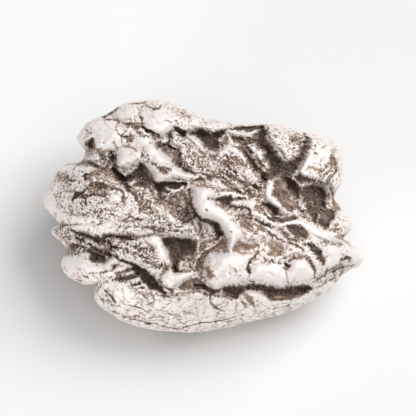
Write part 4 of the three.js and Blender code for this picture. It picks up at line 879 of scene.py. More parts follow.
form("hollow foot", 0, 0.35, [(1.6, 1.4, 0.35), (3, 1.05, 0.45), (4.6, 0.75, 0.4), (5.6, 0.5, 0.3)],
    stain=0.5, grit=1)
form("tip rust", 0, 0.4, [(15.3, -6.7, 0.35), (16.3, -6.4, 0.5), (17.4, -5.8, 0.4)],
    [(17.3, -4.8, 0.35), (18.4, -5.3, 0.4)], stain=0.45, grit=1)
form("west pit shade", 0, 0.3, [(-3.6, 10.1), (-2, 10.2), (-2, 9.7), (-3.4, 9.6)],
    [(-0.9, 10, 0.3), (-0.2, 9.2, 0.3)], stain=0.7)
form("slab tan", 0, 0.6, [(-15.6, 1.4), (-15.4, 4.4), (-14, 5.2), (-10.4, 4.6), (-9.9, 3.4), (-11.8, 3.2),
    (-12.4, 2), (-13, 1.2)], stain=0.22, grit=1)
form("flake tan", 0, 0.5, [(1.2, 3.4, 0.35), (2.6, 3.1, 0.4), (4.2, 3, 0.4)],
    [(-4.8, 6.4, 0.3), (-3.6, 5.9, 0.3)], [(11, 1.2, 0.5), (12.2, 0.7, 0.5), (13.4, 0.4, 0.4)],
    [(12.4, -0.1, 0.3), (13.6, -0.7, 0.3)], stain=0.6, grit=1)
form("fold tan", 0, 0.5, [(-8.8, -9.2, 0.4), (-7.4, -9.6, 0.5), (-6.2, -10.2, 0.3)],
    [(-15.8, -6.6, 0.4), (-14.8, -6.9, 0.3)], [(-12.6, -10.3, 0.3), (-11.4, -10.9, 0.4)],
    [(-8.4, -12.6, 0.3), (-6.8, -12.9, 0.3)], stain=0.36, grit=1)
form("recess flecks", 0, 0.3, [(2.2, 7, 0.3), (2.9, 6.7, 0.3)],
    [(3.3, 7, 0.25), (4.2, 6.6, 0.3), (4.8, 6.3, 0.2)], stain=0.5, grit=1)
form("block side", 0, 0.3, [(6.4, 2), (7, 2.2), (7.4, 1.4), (7.9, 0.4), (7, 0.2), (6.2, 0.7)], stain=0.5,
    grit=1)
print(len(forms), "forms so far")

# %% [markdown]
# ## Shines, fringes and fine lines
#
# The third coat polishes the places that handling has reached, and draws the thin dark lines at their
# edges. Some of its polish is painted light: on the shaded lower edges of the west slab and in the nook
# by the tongue it clears the specks so that those places read pale.

# %% Third coat of stains
form("boulder shine", 0, 0.6, [(12.4, 5.6), (13, 6.8), (13.9, 8.2), (14, 9.4), (16, 9.2), (16.2, 7.8),
    (15.2, 6.4), (15, 5.2), (13.4, 5.1)], gloss=0.75)
form("webbing sheen", 0, 0.6, [(3.2, -4.6), (4, -2.6), (6.6, -1.8), (9, -2.6), (11.4, -3.2), (12.6, -4.4),
    (13.6, -6.4), (13, -6), (11, -5.2), (7, -5.8)], gloss=0.7)
form("cheek flecks", 0, 0.3, [(-6.6, -3.4, 0.3), (-6.3, -4.3, 0.3)], stain=0.24, grit=1)
form("crest flank", 0, 0.4, [(3.4, 7.3, 0.3), (4.6, 7, 0.3), (5.2, 6.3, 0.3)],
    [(4.2, 5.2, 0.3), (5.6, 4.6, 0.35), (6.8, 3.8, 0.3)], stain=0.34, grit=1)
form("basin brink", 0, 0.12, [(-4.4, 0.7, 0.08), (-3.9, 0.1, 0.12), (-3.2, -0.4, 0.12), (-2.6, -0.75, 0.16),
    (-1.9, -0.75, 0.12), (-1.5, -0.3, 0.1)],
    [(-9.4, 3.5, 0.12), (-8.8, 2.8, 0.16), (-8.2, 1.9, 0.14), (-8, 1.3, 0.08)],
    [(-7.1, 3, 0.1), (-6.5, 2.5, 0.12), (-6.1, 2, 0.06)],
    [(-0.5, -0.8, 0.12), (-0.3, -1.6, 0.14), (-0.6, -2.1, 0.08)], stain=0.85)
form("plateau shine", 0, 0.4, [(-11.8, 1.6), (-10, 1.4), (-8.4, 1.9), (-8.1, 1), (-8.6, 0), (-10.4, 0.2)],
    gloss=0.6)
form("funnel wall", 0, 0.4,
    [(-0.9, -2.9), (1, -2.9), (0.5, -4), (-0.3, -5.1), (-0.6, -6.8), (-1.2, -6.8), (-1.5, -5), (-1, -4)],
    stain=0.3, grit=0.5)
form("chasm veil", 0, 0.4, [(1.1, 8.7, 0.2), (1.5, 9.4, 0.35), (2, 10.1, 0.25)], stain=0.6, grit=0.3)
# polish, and painted light: it clears the specks off the lip's shaded lower side so that it reads pale
form("lip polish and painted light", 0, 0.8, [(-18.4, -0.1), (-15, 0), (-12, -0.2), (-10.4, -0.6), (-10.4, -1.9), (-13, -2.5),
    (-15, -2), (-17.8, -1.2)], gloss=0.75)
form("facet fringe", 0, 0.2, [(9.6, 0.4, 0.1), (9.9, 1, 0.2), (9.7, 1.6, 0.15)],
    [(11.2, 0.9, 0.2), (11.8, 1.5, 0.2)], stain=0.66, grit=1)
form("knob shade", 0, 0.15, [(14, -0.8, 0.06), (14.6, -1.3, 0.1), (15.3, -1.7, 0.1)],
    [(15, 0.8, 0.1), (15.5, 0.3, 0.15), (16.2, 0.1, 0.1)], [(14.6, 0.4, 0.3), (15.2, 0.7, 0.25)], stain=0.8,
    grit=1)
form("tooth line", 0, 0.1, [(11.2, 8.4, 0.06), (11.1, 7.8, 0.1), (11.35, 7.2, 0.08)],
    [(11.9, 8.6, 0.1), (12.3, 9, 0.14), (12.1, 9.8, 0.08)], stain=0.8)
form("crest brown", 0, 0.2,
    [(2.4, 6.1), (2.7, 6.9), (3.4, 7.3), (4.3, 7.5), (4.5, 6.8), (5, 6.3), (4.4, 5.9), (3.4, 6)],
    [(4.3, 8.6), (5.2, 8.5), (6, 7.4), (6.8, 6.3), (7.5, 5.5), (8.2, 5), (7.6, 3.9), (7, 4.3), (6.3, 5.2),
    (5.9, 6.1), (5.2, 7.1), (4.6, 7.9)],
    [(0.3, 7.7, 0.25), (1.2, 7.25, 0.4), (2.1, 6.5, 0.35), (3.3, 5.95, 0.2)],
    [(3.9, 8.6, 0.2), (4.6, 7.8, 0.3)],
    [(-10.3, 11.1, 0.15), (-8.8, 10.7, 0.2), (-7.6, 10.1, 0.35), (-6.8, 9.6, 0.25)],
    [(-6.3, 8.8, 0.2), (-5.8, 8.2, 0.3)], stain=0.46, grit=0.8)
form("brink rust", 0, 0.2, [(7.4, 1, 0.15), (8.1, 0.5, 0.3), (8.7, -0.1, 0.25)],
    [(-11.8, 3.1, 0.1), (-10.8, 3.35, 0.22), (-10, 3, 0.2), (-9.8, 2.3, 0.12)],
    [(-5.5, -7.8, 0.2), (-5, -8.7, 0.3), (-3.8, -9.35, 0.25)],
    [(-2.6, -5.4, 0.3), (-1.6, -5.4, 0.5), (-0.8, -4.7, 0.3)],
    [(11.9, 2.8, 0.1), (12.4, 1.8, 0.15), (12.9, 0.9, 0.15), (13.2, 0.1, 0.1)], stain=0.62, grit=0.6)
# polish, and painted light in the patches on the west slab's lower edge, which clear the specks from shade
form("crown polish and painted light", 0, 0.6,
    [(-15, 8.6), (-14.8, 11), (-12.6, 12.6), (-11.4, 11.6), (-11.6, 9), (-12.4, 8), (-13.4, 7.8)],
    [(-10.8, -1), (-9, -1.2), (-7.4, -1.6), (-8, -2.2), (-10.6, -2.1)],
    [(-17.8, -0.6, 0.6), (-16.4, -1.2, 0.5)], [(6, -1.2, 0.3), (7.2, -1.7, 0.3)],
    [(-17.4, 3, 0.5), (-16.8, 2.6, 0.4)], gloss=0.6)
print(len(forms), "forms so far")

# %% [markdown]
# ## Last touches
#
# The last coat is small: fringes where rust has crept over an edge, streaks, and single rubbed or dulled
# spots. Some of it is painted light: the funnel shade paints the shade at the spine's foot, and some
# rubs clear the specks from shaded valleys and shoulders so that they read pale.

# %% Last coat of stains
form("valley brim", 0, 0.2,
    [(-9.4, 3.4, 0.12), (-8.7, 3.5, 0.2), (-7.9, 4, 0.4), (-7, 3.7, 0.3), (-6.4, 3.2, 0.2)],
    [(-15, 5, 0.15), (-14.6, 4.4, 0.15)],
    [(-14.2, 4, 0.1), (-12.4, 4.2, 0.1), (-11.9, 3.2, 0.12), (-11.8, 2.5, 0.1)],
    [(-13.8, 5.5, 0.2), (-12.4, 5.7, 0.25), (-11.4, 4.8, 0.2)], stain=0.6, grit=0.4)
form("chasm fringe", 0, 0.1, [(-7.5, -8.7, 0.1), (-8.4, -9.1, 0.05)],
    [(-7.1, -9.1, 0.1), (-7.4, -9.9, 0.05)], [(-6.5, -9.3, 0.12), (-6.4, -10.1, 0.05)],
    [(-5.8, -9.5, 0.12), (-5.3, -10.2, 0.06), (-4.5, -10.5, 0.05)], [(-5, -9.7, 0.12), (-4.4, -10.4, 0.05)],
    [(-4, -9.6, 0.1), (-3.6, -10.2, 0.05)], [(-9, -8.7, 0.05), (-7.8, -8.3, 0.08)], stain=0.8, grit=0.4)
form("gap lip red", 0, 0.15,
    [(8, -10.3, 0.16), (9.4, -10.45, 0.18), (10.8, -10.35, 0.16), (12.2, -10, 0.14), (13.2, -9.5, 0.1)],
    [(4.6, -8.9, 0.1), (5.8, -8.9, 0.2), (7, -9.2, 0.15)], stain=0.75, grit=0.3)
# rubbed spots, and painted light: several clear the specks from shaded valleys and shoulders
form("rubs and painted light", 0, 0.25, [(5.9, -1, 0.3), (7.3, -1.6, 0.35)], [(1.4, 8.8, 0.35), (2.8, 9.3, 0.35)],
    [(-1.5, 8.9, 0.3), (-0.4, 7.4, 0.6)],
    [(-13.6, 7.4), (-12.6, 7.6), (-12.2, 8.1), (-11.3, 8.4), (-11.2, 9.2), (-12.6, 9), (-13.5, 8.8)],
    [(1.8, -3.9, 0.5), (3, -3, 0.5), (4.6, -3.2, 0.3)], [(-17.2, -4, 0.3), (-16.4, -4.2, 0.3)],
    [(-7.2, 5.4, 0.2), (-6.8, 6, 0.2)],
    [(6.4, -11.9, 0.5), (8.2, -11.8, 0.55), (9.8, -11.4, 0.5), (11.2, -10.9, 0.35)],
    [(6.2, 11.6, 0.3), (8.4, 11.3, 0.3)], gloss=0.8)
form("dull rubs", 0, 0.3, [(0.9, -6.6, 0.4), (1.5, -7.6, 0.5)], [(4.2, -6.6, 0.5), (4.4, -7.5, 0.5)],
    [(13.5, 8.8, 0.2), (13.9, 8, 0.3)], [(6.9, -3.8, 0.2), (6.8, -4.6, 0.4), (6.4, -5.3, 0.3)],
    [(-5.8, 1.4, 0.3), (-5.2, 1, 0.3)], [(-4.6, 0.4, 0.3), (-3.9, -0.6, 0.3)],
    [(12.6, -2.8, 0.2), (11.2, -3.7, 0.3)], [(16.3, -0.8, 0.3), (17, -1, 0.3)],
    [(-2.4, -6.2, 0.4), (-1.4, -6, 0.4)], stain=0.2, grit=0.6)
form("dark rubs", 0, 0.25, [(9.9, 4.8, 0.3), (10.3, 3.9, 0.35), (11, 3.1, 0.3)],
    [(7.2, 4.5, 0.3), (8.2, 4.7, 0.3)], [(-11.9, 3.2, 0.15), (-10.9, 3.3, 0.3), (-10, 2.9, 0.2)],
    [(-8.9, 3.6, 0.2), (-8.2, 4.2, 0.3), (-6.6, 3.3, 0.3)], [(10.9, 9.4, 0.35), (11.5, 8.9, 0.35)],
    [(-11.3, -10, 0.15), (-10.8, -10.8, 0.2)], [(4.6, -10.2, 0.2), (5.3, -11.1, 0.3)],
    [(-6.2, -4.2, 0.2), (-5.8, -4.9, 0.25)], [(13.4, -0.3, 0.2), (14.2, -1, 0.3)],
    [(12.2, 1.9, 0.25), (12.4, 1.2, 0.25)], stain=0.52, grit=0.7)
form("pit side rust", 0, 0.2, [(12.2, 4.3), (13.6, 4.5), (14.6, 4.4), (15.5, 4), (15.9, 2.9), (15.8, 1.2),
    (15.1, 1.1), (15.1, 2.6), (14.9, 3.2), (14, 3.6), (12.6, 3.5)],
    [(14, -0.8, 0.2), (14.2, 0.1, 0.25), (14.6, 0.8, 0.3), (15.5, 1, 0.25)], stain=0.44, grit=0.8)
form("pit rust", 0, 0.3,
    [(-14.3, -3.6), (-13.4, -3.4), (-12.7, -3.9), (-12.2, -4.6), (-12.4, -5.4), (-13.1, -5.6), (-14, -4.5)],
    stain=0.5, grit=0.4)
form("funnel shade", 0, 0.4, [(1.8, -2.9, 0.4), (0.6, -3.1, 0.5), (-0.1, -4, 0.4)], stain=0.46, grit=0.4)
form("slab tans", 0, 0.2, [(-14.3, 5.3), (-13, 5.6), (-11.6, 5.2), (-10.5, 4.2), (-10, 3.4), (-10.2, 2.9),
    (-10.9, 3.4), (-11.8, 3.1), (-12.1, 4.1), (-13.6, 4.4), (-14.4, 4.2)],
    [(-6.5, 2.8), (-5.9, 2.8), (-5.2, 1.6), (-4.4, 1), (-5.1, 0.7), (-6.1, 1.3)],
    [(-8.7, 4.3), (-7.9, 4.2), (-6.9, 3.6), (-6.2, 3.4), (-6, 2.6), (-7, 2.9), (-8, 3.3), (-8.8, 3.5)],
    [(4.6, 6), (5.3, 6.5), (5.6, 6), (5.2, 5.5), (4.7, 5.6)],
    [(6.6, 1.9), (7.4, 1.6), (8.1, 0.9), (8.2, 0.2), (7.4, 0), (6.5, 0.4)],
    [(3.8, 0.3), (4.8, 0.6), (6.1, 0.2), (6.6, -0.5), (6, -1.1), (5.6, -2), (5, -1.4), (4.2, -0.6)],
    stain=0.4, grit=0.8)
form("chasm tongue", 0, 0.2,
    [(9.6, 5.2), (10, 4.3), (10.5, 3.4), (11.6, 2.6), (12, 3.2), (11.2, 4.4), (10.4, 5.2)], stain=0.88,
    grit=0.6)
form("slab streaks", 0, 0.12, [(4.7, 6.05, 0.14), (5.3, 6.15, 0.22), (5.6, 6.4, 0.12)],
    [(0.4, 4.85, 0.14), (1.6, 4.75, 0.18), (2.8, 4.4, 0.14)],
    [(-1.2, 4.3, 0.14), (-0.4, 4.6, 0.3), (0.2, 4.4, 0.12)],
    [(-3.4, 6.4, 0.12), (-2.3, 5.65, 0.18), (-1.2, 5.35, 0.16), (0, 5.15, 0.14), (1.4, 4.95, 0.14)],
    [(2.2, 5.3, 0.08), (3, 4.9, 0.12), (3.9, 4.6, 0.12), (4.6, 4.2, 0.1)],
    [(2.1, 6.1, 0.1), (2.8, 5.9, 0.14), (3.4, 6, 0.08)],
    [(-9.4, 3.9, 0.1), (-8.9, 2.8, 0.14), (-8.2, 2, 0.12), (-8, 1.2, 0.1)],
    [(-7.9, 4, 0.1), (-7.5, 3.4, 0.12), (-6.8, 3.3, 0.1), (-6.4, 2.6, 0.12), (-5.9, 2.4, 0.08)],
    [(-11.9, 2.8, 0.08), (-11.2, 3.2, 0.12), (-10.4, 3.1, 0.14), (-10, 2.4, 0.12)], stain=0.75, grit=0.3)
form("slope channel", 0, 0.15, [(4.2, 8.6), (5.2, 8.5), (6, 7.4), (6.8, 6.3), (7.5, 5.5), (8.2, 5),
    (7.6, 3.8), (6.7, 4.2), (5.9, 5.2), (5.6, 6.1), (5, 7.1), (4.4, 7.9)],
    [(7.1, 5.2), (8.4, 5), (8.1, 4.2), (7.7, 3.5), (7.3, 3.2), (6.9, 3.9)], stain=0.5, grit=0.5)
print(len(forms), "forms so far")

# %% [markdown]
# ## Blurring over the surface
#
# Two later steps need a value spread out over the surface: one rounds the burnished forms off, the other
# asks how far a point stands out from its surroundings. Mixing each point with its neighbours, round after
# round, does both.

# %% Neighbours
sides = [quads[:, [k, (k + 1) % 4]] for k in range(4)]
edges = np.unique(np.sort(np.concatenate(sides), axis=1), axis=0)
degree = np.bincount(edges.ravel(), minlength=len(lump))


def blurred(values, rounds):
    """Each point's value mixed half and half with its neighbours' mean, again and again."""
    values = values.astype(float)
    for _ in range(rounds):
        total = np.bincount(edges[:, 0], values[edges[:, 1]], len(values))
        total += np.bincount(edges[:, 1], values[edges[:, 0]], len(values))
        values = 0.5 * values + 0.5 * total / degree
    return values


print("edges:", len(edges), "neighbours of a point:", degree.min(), "to", degree.max())

# %% [markdown]
# ## Edges that wander
#
# The edges of the forms are straight between their points, and real edges never are. Before the forms are
# looked up, each grid point's place is nudged by fine noise, so every edge wanders with it. The relief
# fades out round the rim, where the lump turns away from the face.

# %% Nudges
NUDGES = [(1.6, 0.1, 11), (0.55, 0.1, 21), (0.26, 0.07, 25)]  # size and reach in millimetres, seed
RELIEF_FADE = (-0.3, 0.05)  # the relief fades out between these values of outward, just behind the rim


def smooth(low, high, x):
    """0 at low and 1 at high, with an S-shaped rise between; low may be the larger one."""
    t = np.clip((x - low) / (high - low), 0, 1)
    return t * t * (3 - 2 * t)


def nudged(points):
    """Places bent by three sizes of noise: a slow one moves whole edges, two finer ones fret them."""
    bent = points[:, :2].copy()
    for k in range(2):
        bent[:, k] += sum(reach * gradient_noise(points, size, seed + k) for size, reach, seed in NUDGES)
    return bent.T


face = smooth(*RELIEF_FADE, outward)
seen = face > 0
u, v = nudged(lump[seen])
print("points on the face:", len(u), "largest nudge, mm:", np.abs(u - lump[seen, 0]).max().round(2))

# %% [markdown]
# ## Putting the relief on the face
#
# Heights and depths add up. Stain, gloss and grit don't: the strongest one wins, except that a burnished
# swelling wipes off the stain under it, and a gritty hollow dulls the gloss. At the end the burnished forms
# are blurred, because melted iron has no creases.

# %% Face relief
TINT_EDGE = (-0.02, 0.1)  # a form's stain and gloss come in between these depths inside its edge
DEEP = -0.8  # millimetres; in hollows deeper than this the rust has settled on the floor
WALL_RUST_PAINTED_PALE = 0.2  # and this share of it lies on their walls; kept low, it is also painted light that pales their shade
WALL_BEVELS = 1.2  # the wall ends and the floor begins this many bevels inside the edge
MELT_ROUNDS = 22  # rounds of blurring that melt the creases out of the burnished forms

relief, stain, gloss, grit = (np.zeros(len(lump)) for _ in range(4))
for part in forms:
    depth = depth_inside(u, v, part["shapes"])
    relief[seen] += part["rise"] * np.sqrt(1 - (1 - np.clip(depth / part["bevel"], 0, 1)) ** 2)
    tint = smooth(0, part["bevel"], depth) if part["rise"] == 0 else smooth(*TINT_EDGE, depth)
    floor_share = smooth(0, WALL_BEVELS * part["bevel"], depth)
    # deep hollows: rust settles on the floor, and the walls get less stain, which is also painted light that
    # lifts their shade
    floor_rust_pale_walls = 1 if part["rise"] > DEEP else WALL_RUST_PAINTED_PALE + (1 - WALL_RUST_PAINTED_PALE) * floor_share
    if part["rise"] > 0:
        stain[seen] *= 1 - tint * part["gloss"]
        grit[seen] *= 1 - tint * part["gloss"]
    else:
        gloss[seen] *= 1 - tint * part["grit"]
    stain[seen] = np.maximum(stain[seen], part["stain"] * tint * floor_rust_pale_walls)
    gloss[seen] = np.maximum(gloss[seen], part["gloss"] * tint)
    grit[seen] = np.maximum(grit[seen], part["grit"] * tint)
relief += gloss * (blurred(relief, MELT_ROUNDS) - relief)
deepest = min(forms, key=lambda part: part["rise"])
print("relief, mm:", relief.min().round(2), relief.max().round(2), "deepest form:", deepest["name"])

# %% [markdown]
# ## Thumbprints on the flank and back
#
# Away from the face the iron has the shallow scooped hollows that hot air cuts, called thumbprints. Their
# centres are spread evenly by a golden spiral. Slow swellings run over the whole lump under them.

# %% Thumbprints
THUMBPRINTS = 84
THUMBPRINT_RADIUS = 3.9
THUMBPRINT_DEPTH = 1.25
GOLDEN_TURN = math.pi * (3 - math.sqrt(5))
STRAY_TURN = 0.6  # how far, in radians, a centre may stray from the spiral
FACE_SIDE = 0.1  # centres that look out of the face more than this are left out
SWELL_HEIGHT = 0.55
SWELL_WAVE = 11  # millimetres from one swelling to the next
SWELL_WAYS = [((1, 0.6, 0), 1.3), ((0, 1, -0.5), 2.1), ((0.7, 0, 1), 4.2)]  # slanted directions, phases


def thumbprint_depth(points):
    """A bowl round the nearest centre: its depth falls with the distance squared, to 0 at its radius."""
    i = np.arange(THUMBPRINTS)
    z = 1 - (2 * i + 1) / THUMBPRINTS
    turn = i * GOLDEN_TURN + STRAY_TURN * np.sin(7 * i)
    across = np.sqrt(1 - z * z)
    centres, out = plain_lump(np.column_stack([across * np.cos(turn), across * np.sin(turn), z]))
    nearest = np.full(len(points), FAR)
    for centre in centres[out < FACE_SIDE]:
        nearest = np.minimum(nearest, np.linalg.norm(points - centre, axis=1))
    return THUMBPRINT_DEPTH * np.clip(1 - (nearest / THUMBPRINT_RADIUS) ** 2, 0, None)


def swell(points):
    """Crossed sine waves, each along its own slanted direction, averaged."""
    turns = 2 * math.pi / SWELL_WAVE
    waves = [np.sin(turns * (points @ np.array(way)) + phase) for way, phase in SWELL_WAYS]
    return SWELL_HEIGHT * sum(waves) / len(waves)


bowls = thumbprint_depth(lump)
slow_swell = swell(lump)
print("deepest bowl, mm:", bowls.max().round(2), "highest swelling, mm:", slow_swell.max().round(2))

# %% [markdown]
# ## Shape and rust of the back
#
# The bowls are cut inwards and the relief is raised along w. Handling rubs the rims of the bowls bright and
# leaves the rust on their floors, so some of them stay brown.

# %% Flank and back
BACK_FADE = (0.02, 0.4)  # the thumbprints fade in between these values of minus outward
BOWL_STAIN = 0.6
FLANK_STAIN = 0.08
BOWL_FLOOR = (0.2, 0.8)  # shares of the full depth between which a bowl's rust comes in
BROWN_NOISE = (2.4, 97)  # size in millimetres and seed
BROWN_BOWLS = (-0.4, 0.15)  # values of that noise between which the bowls turn brown

hidden = smooth(*BACK_FADE, -outward)
inward = hidden * (bowls + slow_swell + SWELL_HEIGHT)
surface = lump * (1 - inward / np.linalg.norm(lump, axis=1))[:, None]
surface[:, 2] += face * (relief + slow_swell)
kept_rust = smooth(*BOWL_FLOOR, bowls / THUMBPRINT_DEPTH)
kept_rust *= smooth(*BROWN_BOWLS, gradient_noise(lump, *BROWN_NOISE))
stain = np.maximum(stain, hidden * (FLANK_STAIN + (BOWL_STAIN - FLANK_STAIN) * kept_rust))
print("points in rusty bowls:", int(np.sum(hidden * kept_rust > 0.5)))

# %% [markdown]
# ## Grain
#
# Between the burnished swellings the iron is coarse, with grains and pits a few tenths of a millimetre
# across. The grain will move each point along the surface's own normal, least on the swellings. The
# swellings have soft lobes instead, with fine creases between them. How coarse each point is gets settled
# here, before the rim's gloss, partly wear and partly a painted highlight, is added to the rest.

# %% Grain
GRAINS = [(0.1, 0.62, 5), (0.09, 0.33, 9)]  # height and size in millimetres, seed
GRAIN_GROOVE = 0.45  # in cell sizes, from a groove to the flat top of a grain
UNEVEN = (0.09, 0.9, 31)  # the same three values for the slow noise under the grains
LOBES = (1.5, 15)  # millimetres across one soft lobe of the burnished iron, and seed
LOBE_BEND = (0.35, 1.1, 91)  # reach, size and seed of the noise that bends the lobes
LOBE_GROOVE = 0.5
CREASE_WIDTH = 0.1
POLISH = 0.9  # how much of the grain a full gloss takes away
PLAIN_SHARE = 0.7  # the grain's share where there is no grit
GRIT_SHARE = 0.6  # and what full grit adds to it


def cell_gap(points, size, seed):
    """How much nearer the nearest scattered point is than the next: 0 in the grooves between the cells."""
    nearest, second = cell_noise(points, size, seed)
    return second - nearest


grain = np.zeros(len(lump))
for height, size, seed in GRAINS:
    grain += height * np.clip(cell_gap(lump, size, seed) / GRAIN_GROOVE, 0, 1)
height, size, seed = UNEVEN
grain += height * layered_noise(lump, size, seed)
reach, size, seed = LOBE_BEND
bent_lump = lump + reach * np.column_stack([gradient_noise(lump, size, seed + k) for k in range(3)])
lobe_gap = cell_gap(bent_lump, *LOBES)
lobes = np.clip(lobe_gap / LOBE_GROOVE, 0, 1)
creases = np.clip(1 - lobe_gap / CREASE_WIDTH, 0, 1)
coarse = (1 - POLISH * gloss) * (PLAIN_SHARE + GRIT_SHARE * grit)
print("grain, mm:", grain.min().round(2), grain.max().round(2))
print("share of the points in creases:", (creases > 0).mean().round(3))

# %% [markdown]
# ## Lines that the iron was drawn along
#
# The air drew the melted iron out in streaks, and on the plates the crystal layers end in fine parallel
# lines. Both are gradient noise stretched along one way. Where its wave passes through nothing there is a
# hairline, and dirt lies in its troughs.

# %% Striae
STRETCH = 5  # how many times longer than wide the streaks are
FINER, FINER_SHARE = 2.1, 0.5  # how much finer the streaks between them are, and their share of the height
LINE_WIDTH = 0.12  # of the wave's own height


def striae(across, along, spacing, seed):
    """Gradient noise drawn out to several times its width along one way, with finer streaks between."""
    stretched = np.column_stack([across / spacing, along / (STRETCH * spacing), np.zeros(len(across))])
    finer = gradient_noise(stretched * FINER, 1.0, seed + 3)
    return gradient_noise(stretched, 1.0, seed) + FINER_SHARE * finer


def hairlines(wave):
    """Thin lines where a wave passes through nothing: 1 on them, falling straight to 0 at LINE_WIDTH."""
    return np.clip(1 - np.abs(wave) / LINE_WIDTH, 0, 1)


# angle in degrees, spacing and height in millimetres, patch
STRIATED = {
    "upper middle": (-33, 0.5, 0.16,
        [(-1.5, 5.3), (1.5, 6), (3.4, 5.8), (7.6, 3.8), (8, 2.2), (5, 2.1), (1, 3.4)]),
    "crest slope": (-52, 0.45, 0.2, [(4.4, 8.4), (6.6, 8.6), (8.4, 6), (8.2, 4), (6.4, 4.4)]),
    "middle slab": (-45, 0.3, 0.07, [(-3.8, 10.4), (-1.4, 9.6), (2, 5.6), (0, 5), (-3, 6.6)]),
    "plate foot": (0, 0.4, 0.12, [(-10.5, -0.6), (-4, -0.6), (-0.8, -1), (-0.8, -2.7), (-10.5, -2.4)]),
    "west slab": (-4, 0.6, 0.1, [(-18, 5.5), (-10, 4), (-5, 0.5), (-4, -0.8), (-17.5, -0.8)]),
    "lobe hollow": (-28, 0.4, 0.2,
        [(-17.6, -1.9), (-10.4, -2.3), (-9.6, -4), (-11.5, -5.6), (-14, -6), (-17, -4.6)]),
    "lower slab": (-24, 0.45, 0.08,
        [(-11, -2.5), (-5, -2.4), (-4, -5), (-5.4, -7.6), (-8, -6.2), (-11, -5.2)]),
    "fan": (12, 0.45, 0.2,
        [(-12.4, -8.6), (-11.4, -6.8), (-8.6, -6.4), (-7.2, -8), (-7.4, -9.2), (-10, -9.2)]),
    "webbing": (-30, 0.5, 0.14, [(4, -2), (8, 0.4), (16, -3), (14, -7), (9, -5.6), (4, -4.4)]),
    "east slopes": (40, 0.45, 0.16, [(14, -7), (17, -6.4), (19.8, -6), (17, -8.6), (14, -10), (13.8, -8.4)]),
    "boulder": (48, 0.5, 0.12, [(13, 9.6), (17.4, 9), (17.6, 5), (15.6, 3.8), (13.6, 4.6), (13.8, 7)]),
    "crown folds": (-42, 0.6, 0.08, [(-10.8, 8), (-6, 9.5), (-1.8, 5), (-6, 4.4), (-10.4, 6)]),
}
print("striated patches:", len(STRIATED))

# %% [markdown]
# ## Drawing the streaks
#
# Each patch has its own angle and spacing, and fades in from its outline so that no border shows.

# %% Streaks of the face
STREAK_SEED = 200
ZONE_FADE = 0.8  # millimetres over which a patch's streaks fade in
STREAK_GAIN = 1.5  # how much of the listed height the streaks get
TROUGH = -0.45  # the wave's value at which dirt is thickest
TROUGH_DIRT = 4.5  # dirt in the troughs for each millimetre of height

drawn, line = np.zeros(len(lump)), np.zeros(len(lump))
for count, (degrees, spacing, height, patch) in enumerate(STRIATED.values()):
    cos, sin = math.cos(math.radians(degrees)), math.sin(math.radians(degrees))
    zone = smooth(0, ZONE_FADE, depth_inside(u, v, [patch]))
    wave = striae(v * cos - u * sin, u * cos + v * sin, spacing, STREAK_SEED + count)
    drawn[seen] += STREAK_GAIN * height * zone * wave
    dark = np.maximum(hairlines(wave), TROUGH_DIRT * height * smooth(0, TROUGH, wave))
    line[seen] = np.maximum(line[seen], zone * dark)
print("streaks, mm:", drawn.min().round(2), drawn.max().round(2))

# %% [markdown]
# ## Folds of the south and the worn, highlighted rim
#
# Round the south the iron lies in folds that follow the outline: across them is the share of the rim's
# radius that a point has reached. The rim itself is made bright, partly by wear and partly as a painted
# highlight, and a few loose hairlines cross the whole face.

# %% Southern folds
WORN_AND_HIGHLIGHTED_RIM = (0.95, 0.98)  # the edge is made bright between these shares of the rim's radius: worn, and a painted highlight
RIM_SIDE = (-0.3, -0.1)  # and in front of these values of outward
RIM_WEAR_AND_HIGHLIGHT = 0.9
SOUTH = (-9.2, -10.6)  # the folds fade in between these places along v
SOUTH_SIDE = (-0.35, -0.05)  # and between these values of outward
RIM_REACH = 14  # millimetres that stand for the rim's radius across the folds
TURN_LENGTH = 16  # millimetres that stand for a radian along them
WANDER = (0.25, 3.0, 61)  # reach and size in millimetres, and seed, of the noise that bends the folds
FOLDS = (0.55, 71)  # spacing in millimetres and seed
FOLD_HEIGHT = 0.2
FOLD_LINES = 2.2  # how strong the folds' hairlines are
LINE_BREAKS = (1.8, 77)  # size in millimetres and seed of the noise that interrupts them
LOOSE_LINES = 0.5  # how strong the loose hairlines are
LOOSE_WAVES = [(1.0, 1.5, 83), (0.5, 0.6, 84)]  # share, size in millimetres, seed

bearing = np.arctan2(lump[:, 1], lump[:, 0])
reached = np.hypot(lump[:, 0], lump[:, 1]) / rim_radius(bearing)
# the bright rim: real wear, and a painted highlight on the edge that turns away from the light
gloss = np.maximum(gloss, RIM_WEAR_AND_HIGHLIGHT * smooth(*WORN_AND_HIGHLIGHTED_RIM, reached) * smooth(*RIM_SIDE, outward))
southern = smooth(*SOUTH, lump[:, 1]) * smooth(*SOUTH_SIDE, outward)
reach, size, seed = WANDER
across_folds = RIM_REACH * reached + reach * gradient_noise(lump, size, seed)
folds = striae(across_folds, TURN_LENGTH * bearing, *FOLDS)
drawn += FOLD_HEIGHT * southern * folds
interrupted = smooth(0, 0.3, gradient_noise(lump, *LINE_BREAKS))
line = np.maximum(line, FOLD_LINES * southern * interrupted * hairlines(folds))
loose = sum(share * gradient_noise(lump, size, seed) for share, size, seed in LOOSE_WAVES)
line = np.maximum(line, LOOSE_LINES * face * hairlines(loose))
print("points in the southern folds:", int(np.sum(southern > 0.5)))

# %% [markdown]
# ## Roughening the surface
#
# A displacement modifier could do this, but it would need a texture for each kind of grain. Here every
# point is simply moved along its normal by the sum of them all: grain and streaks where it is coarse, lobes
# where it is burnished.

# %% Roughening
GRAIN_GAIN = 1.3
LINE_DEPTH = 0.05  # millimetres that the dark lines are let in
LOBE_HEIGHT = 0.09
SINK = 0.1  # millimetres that all of it is let in, so that grains don't thicken the lump


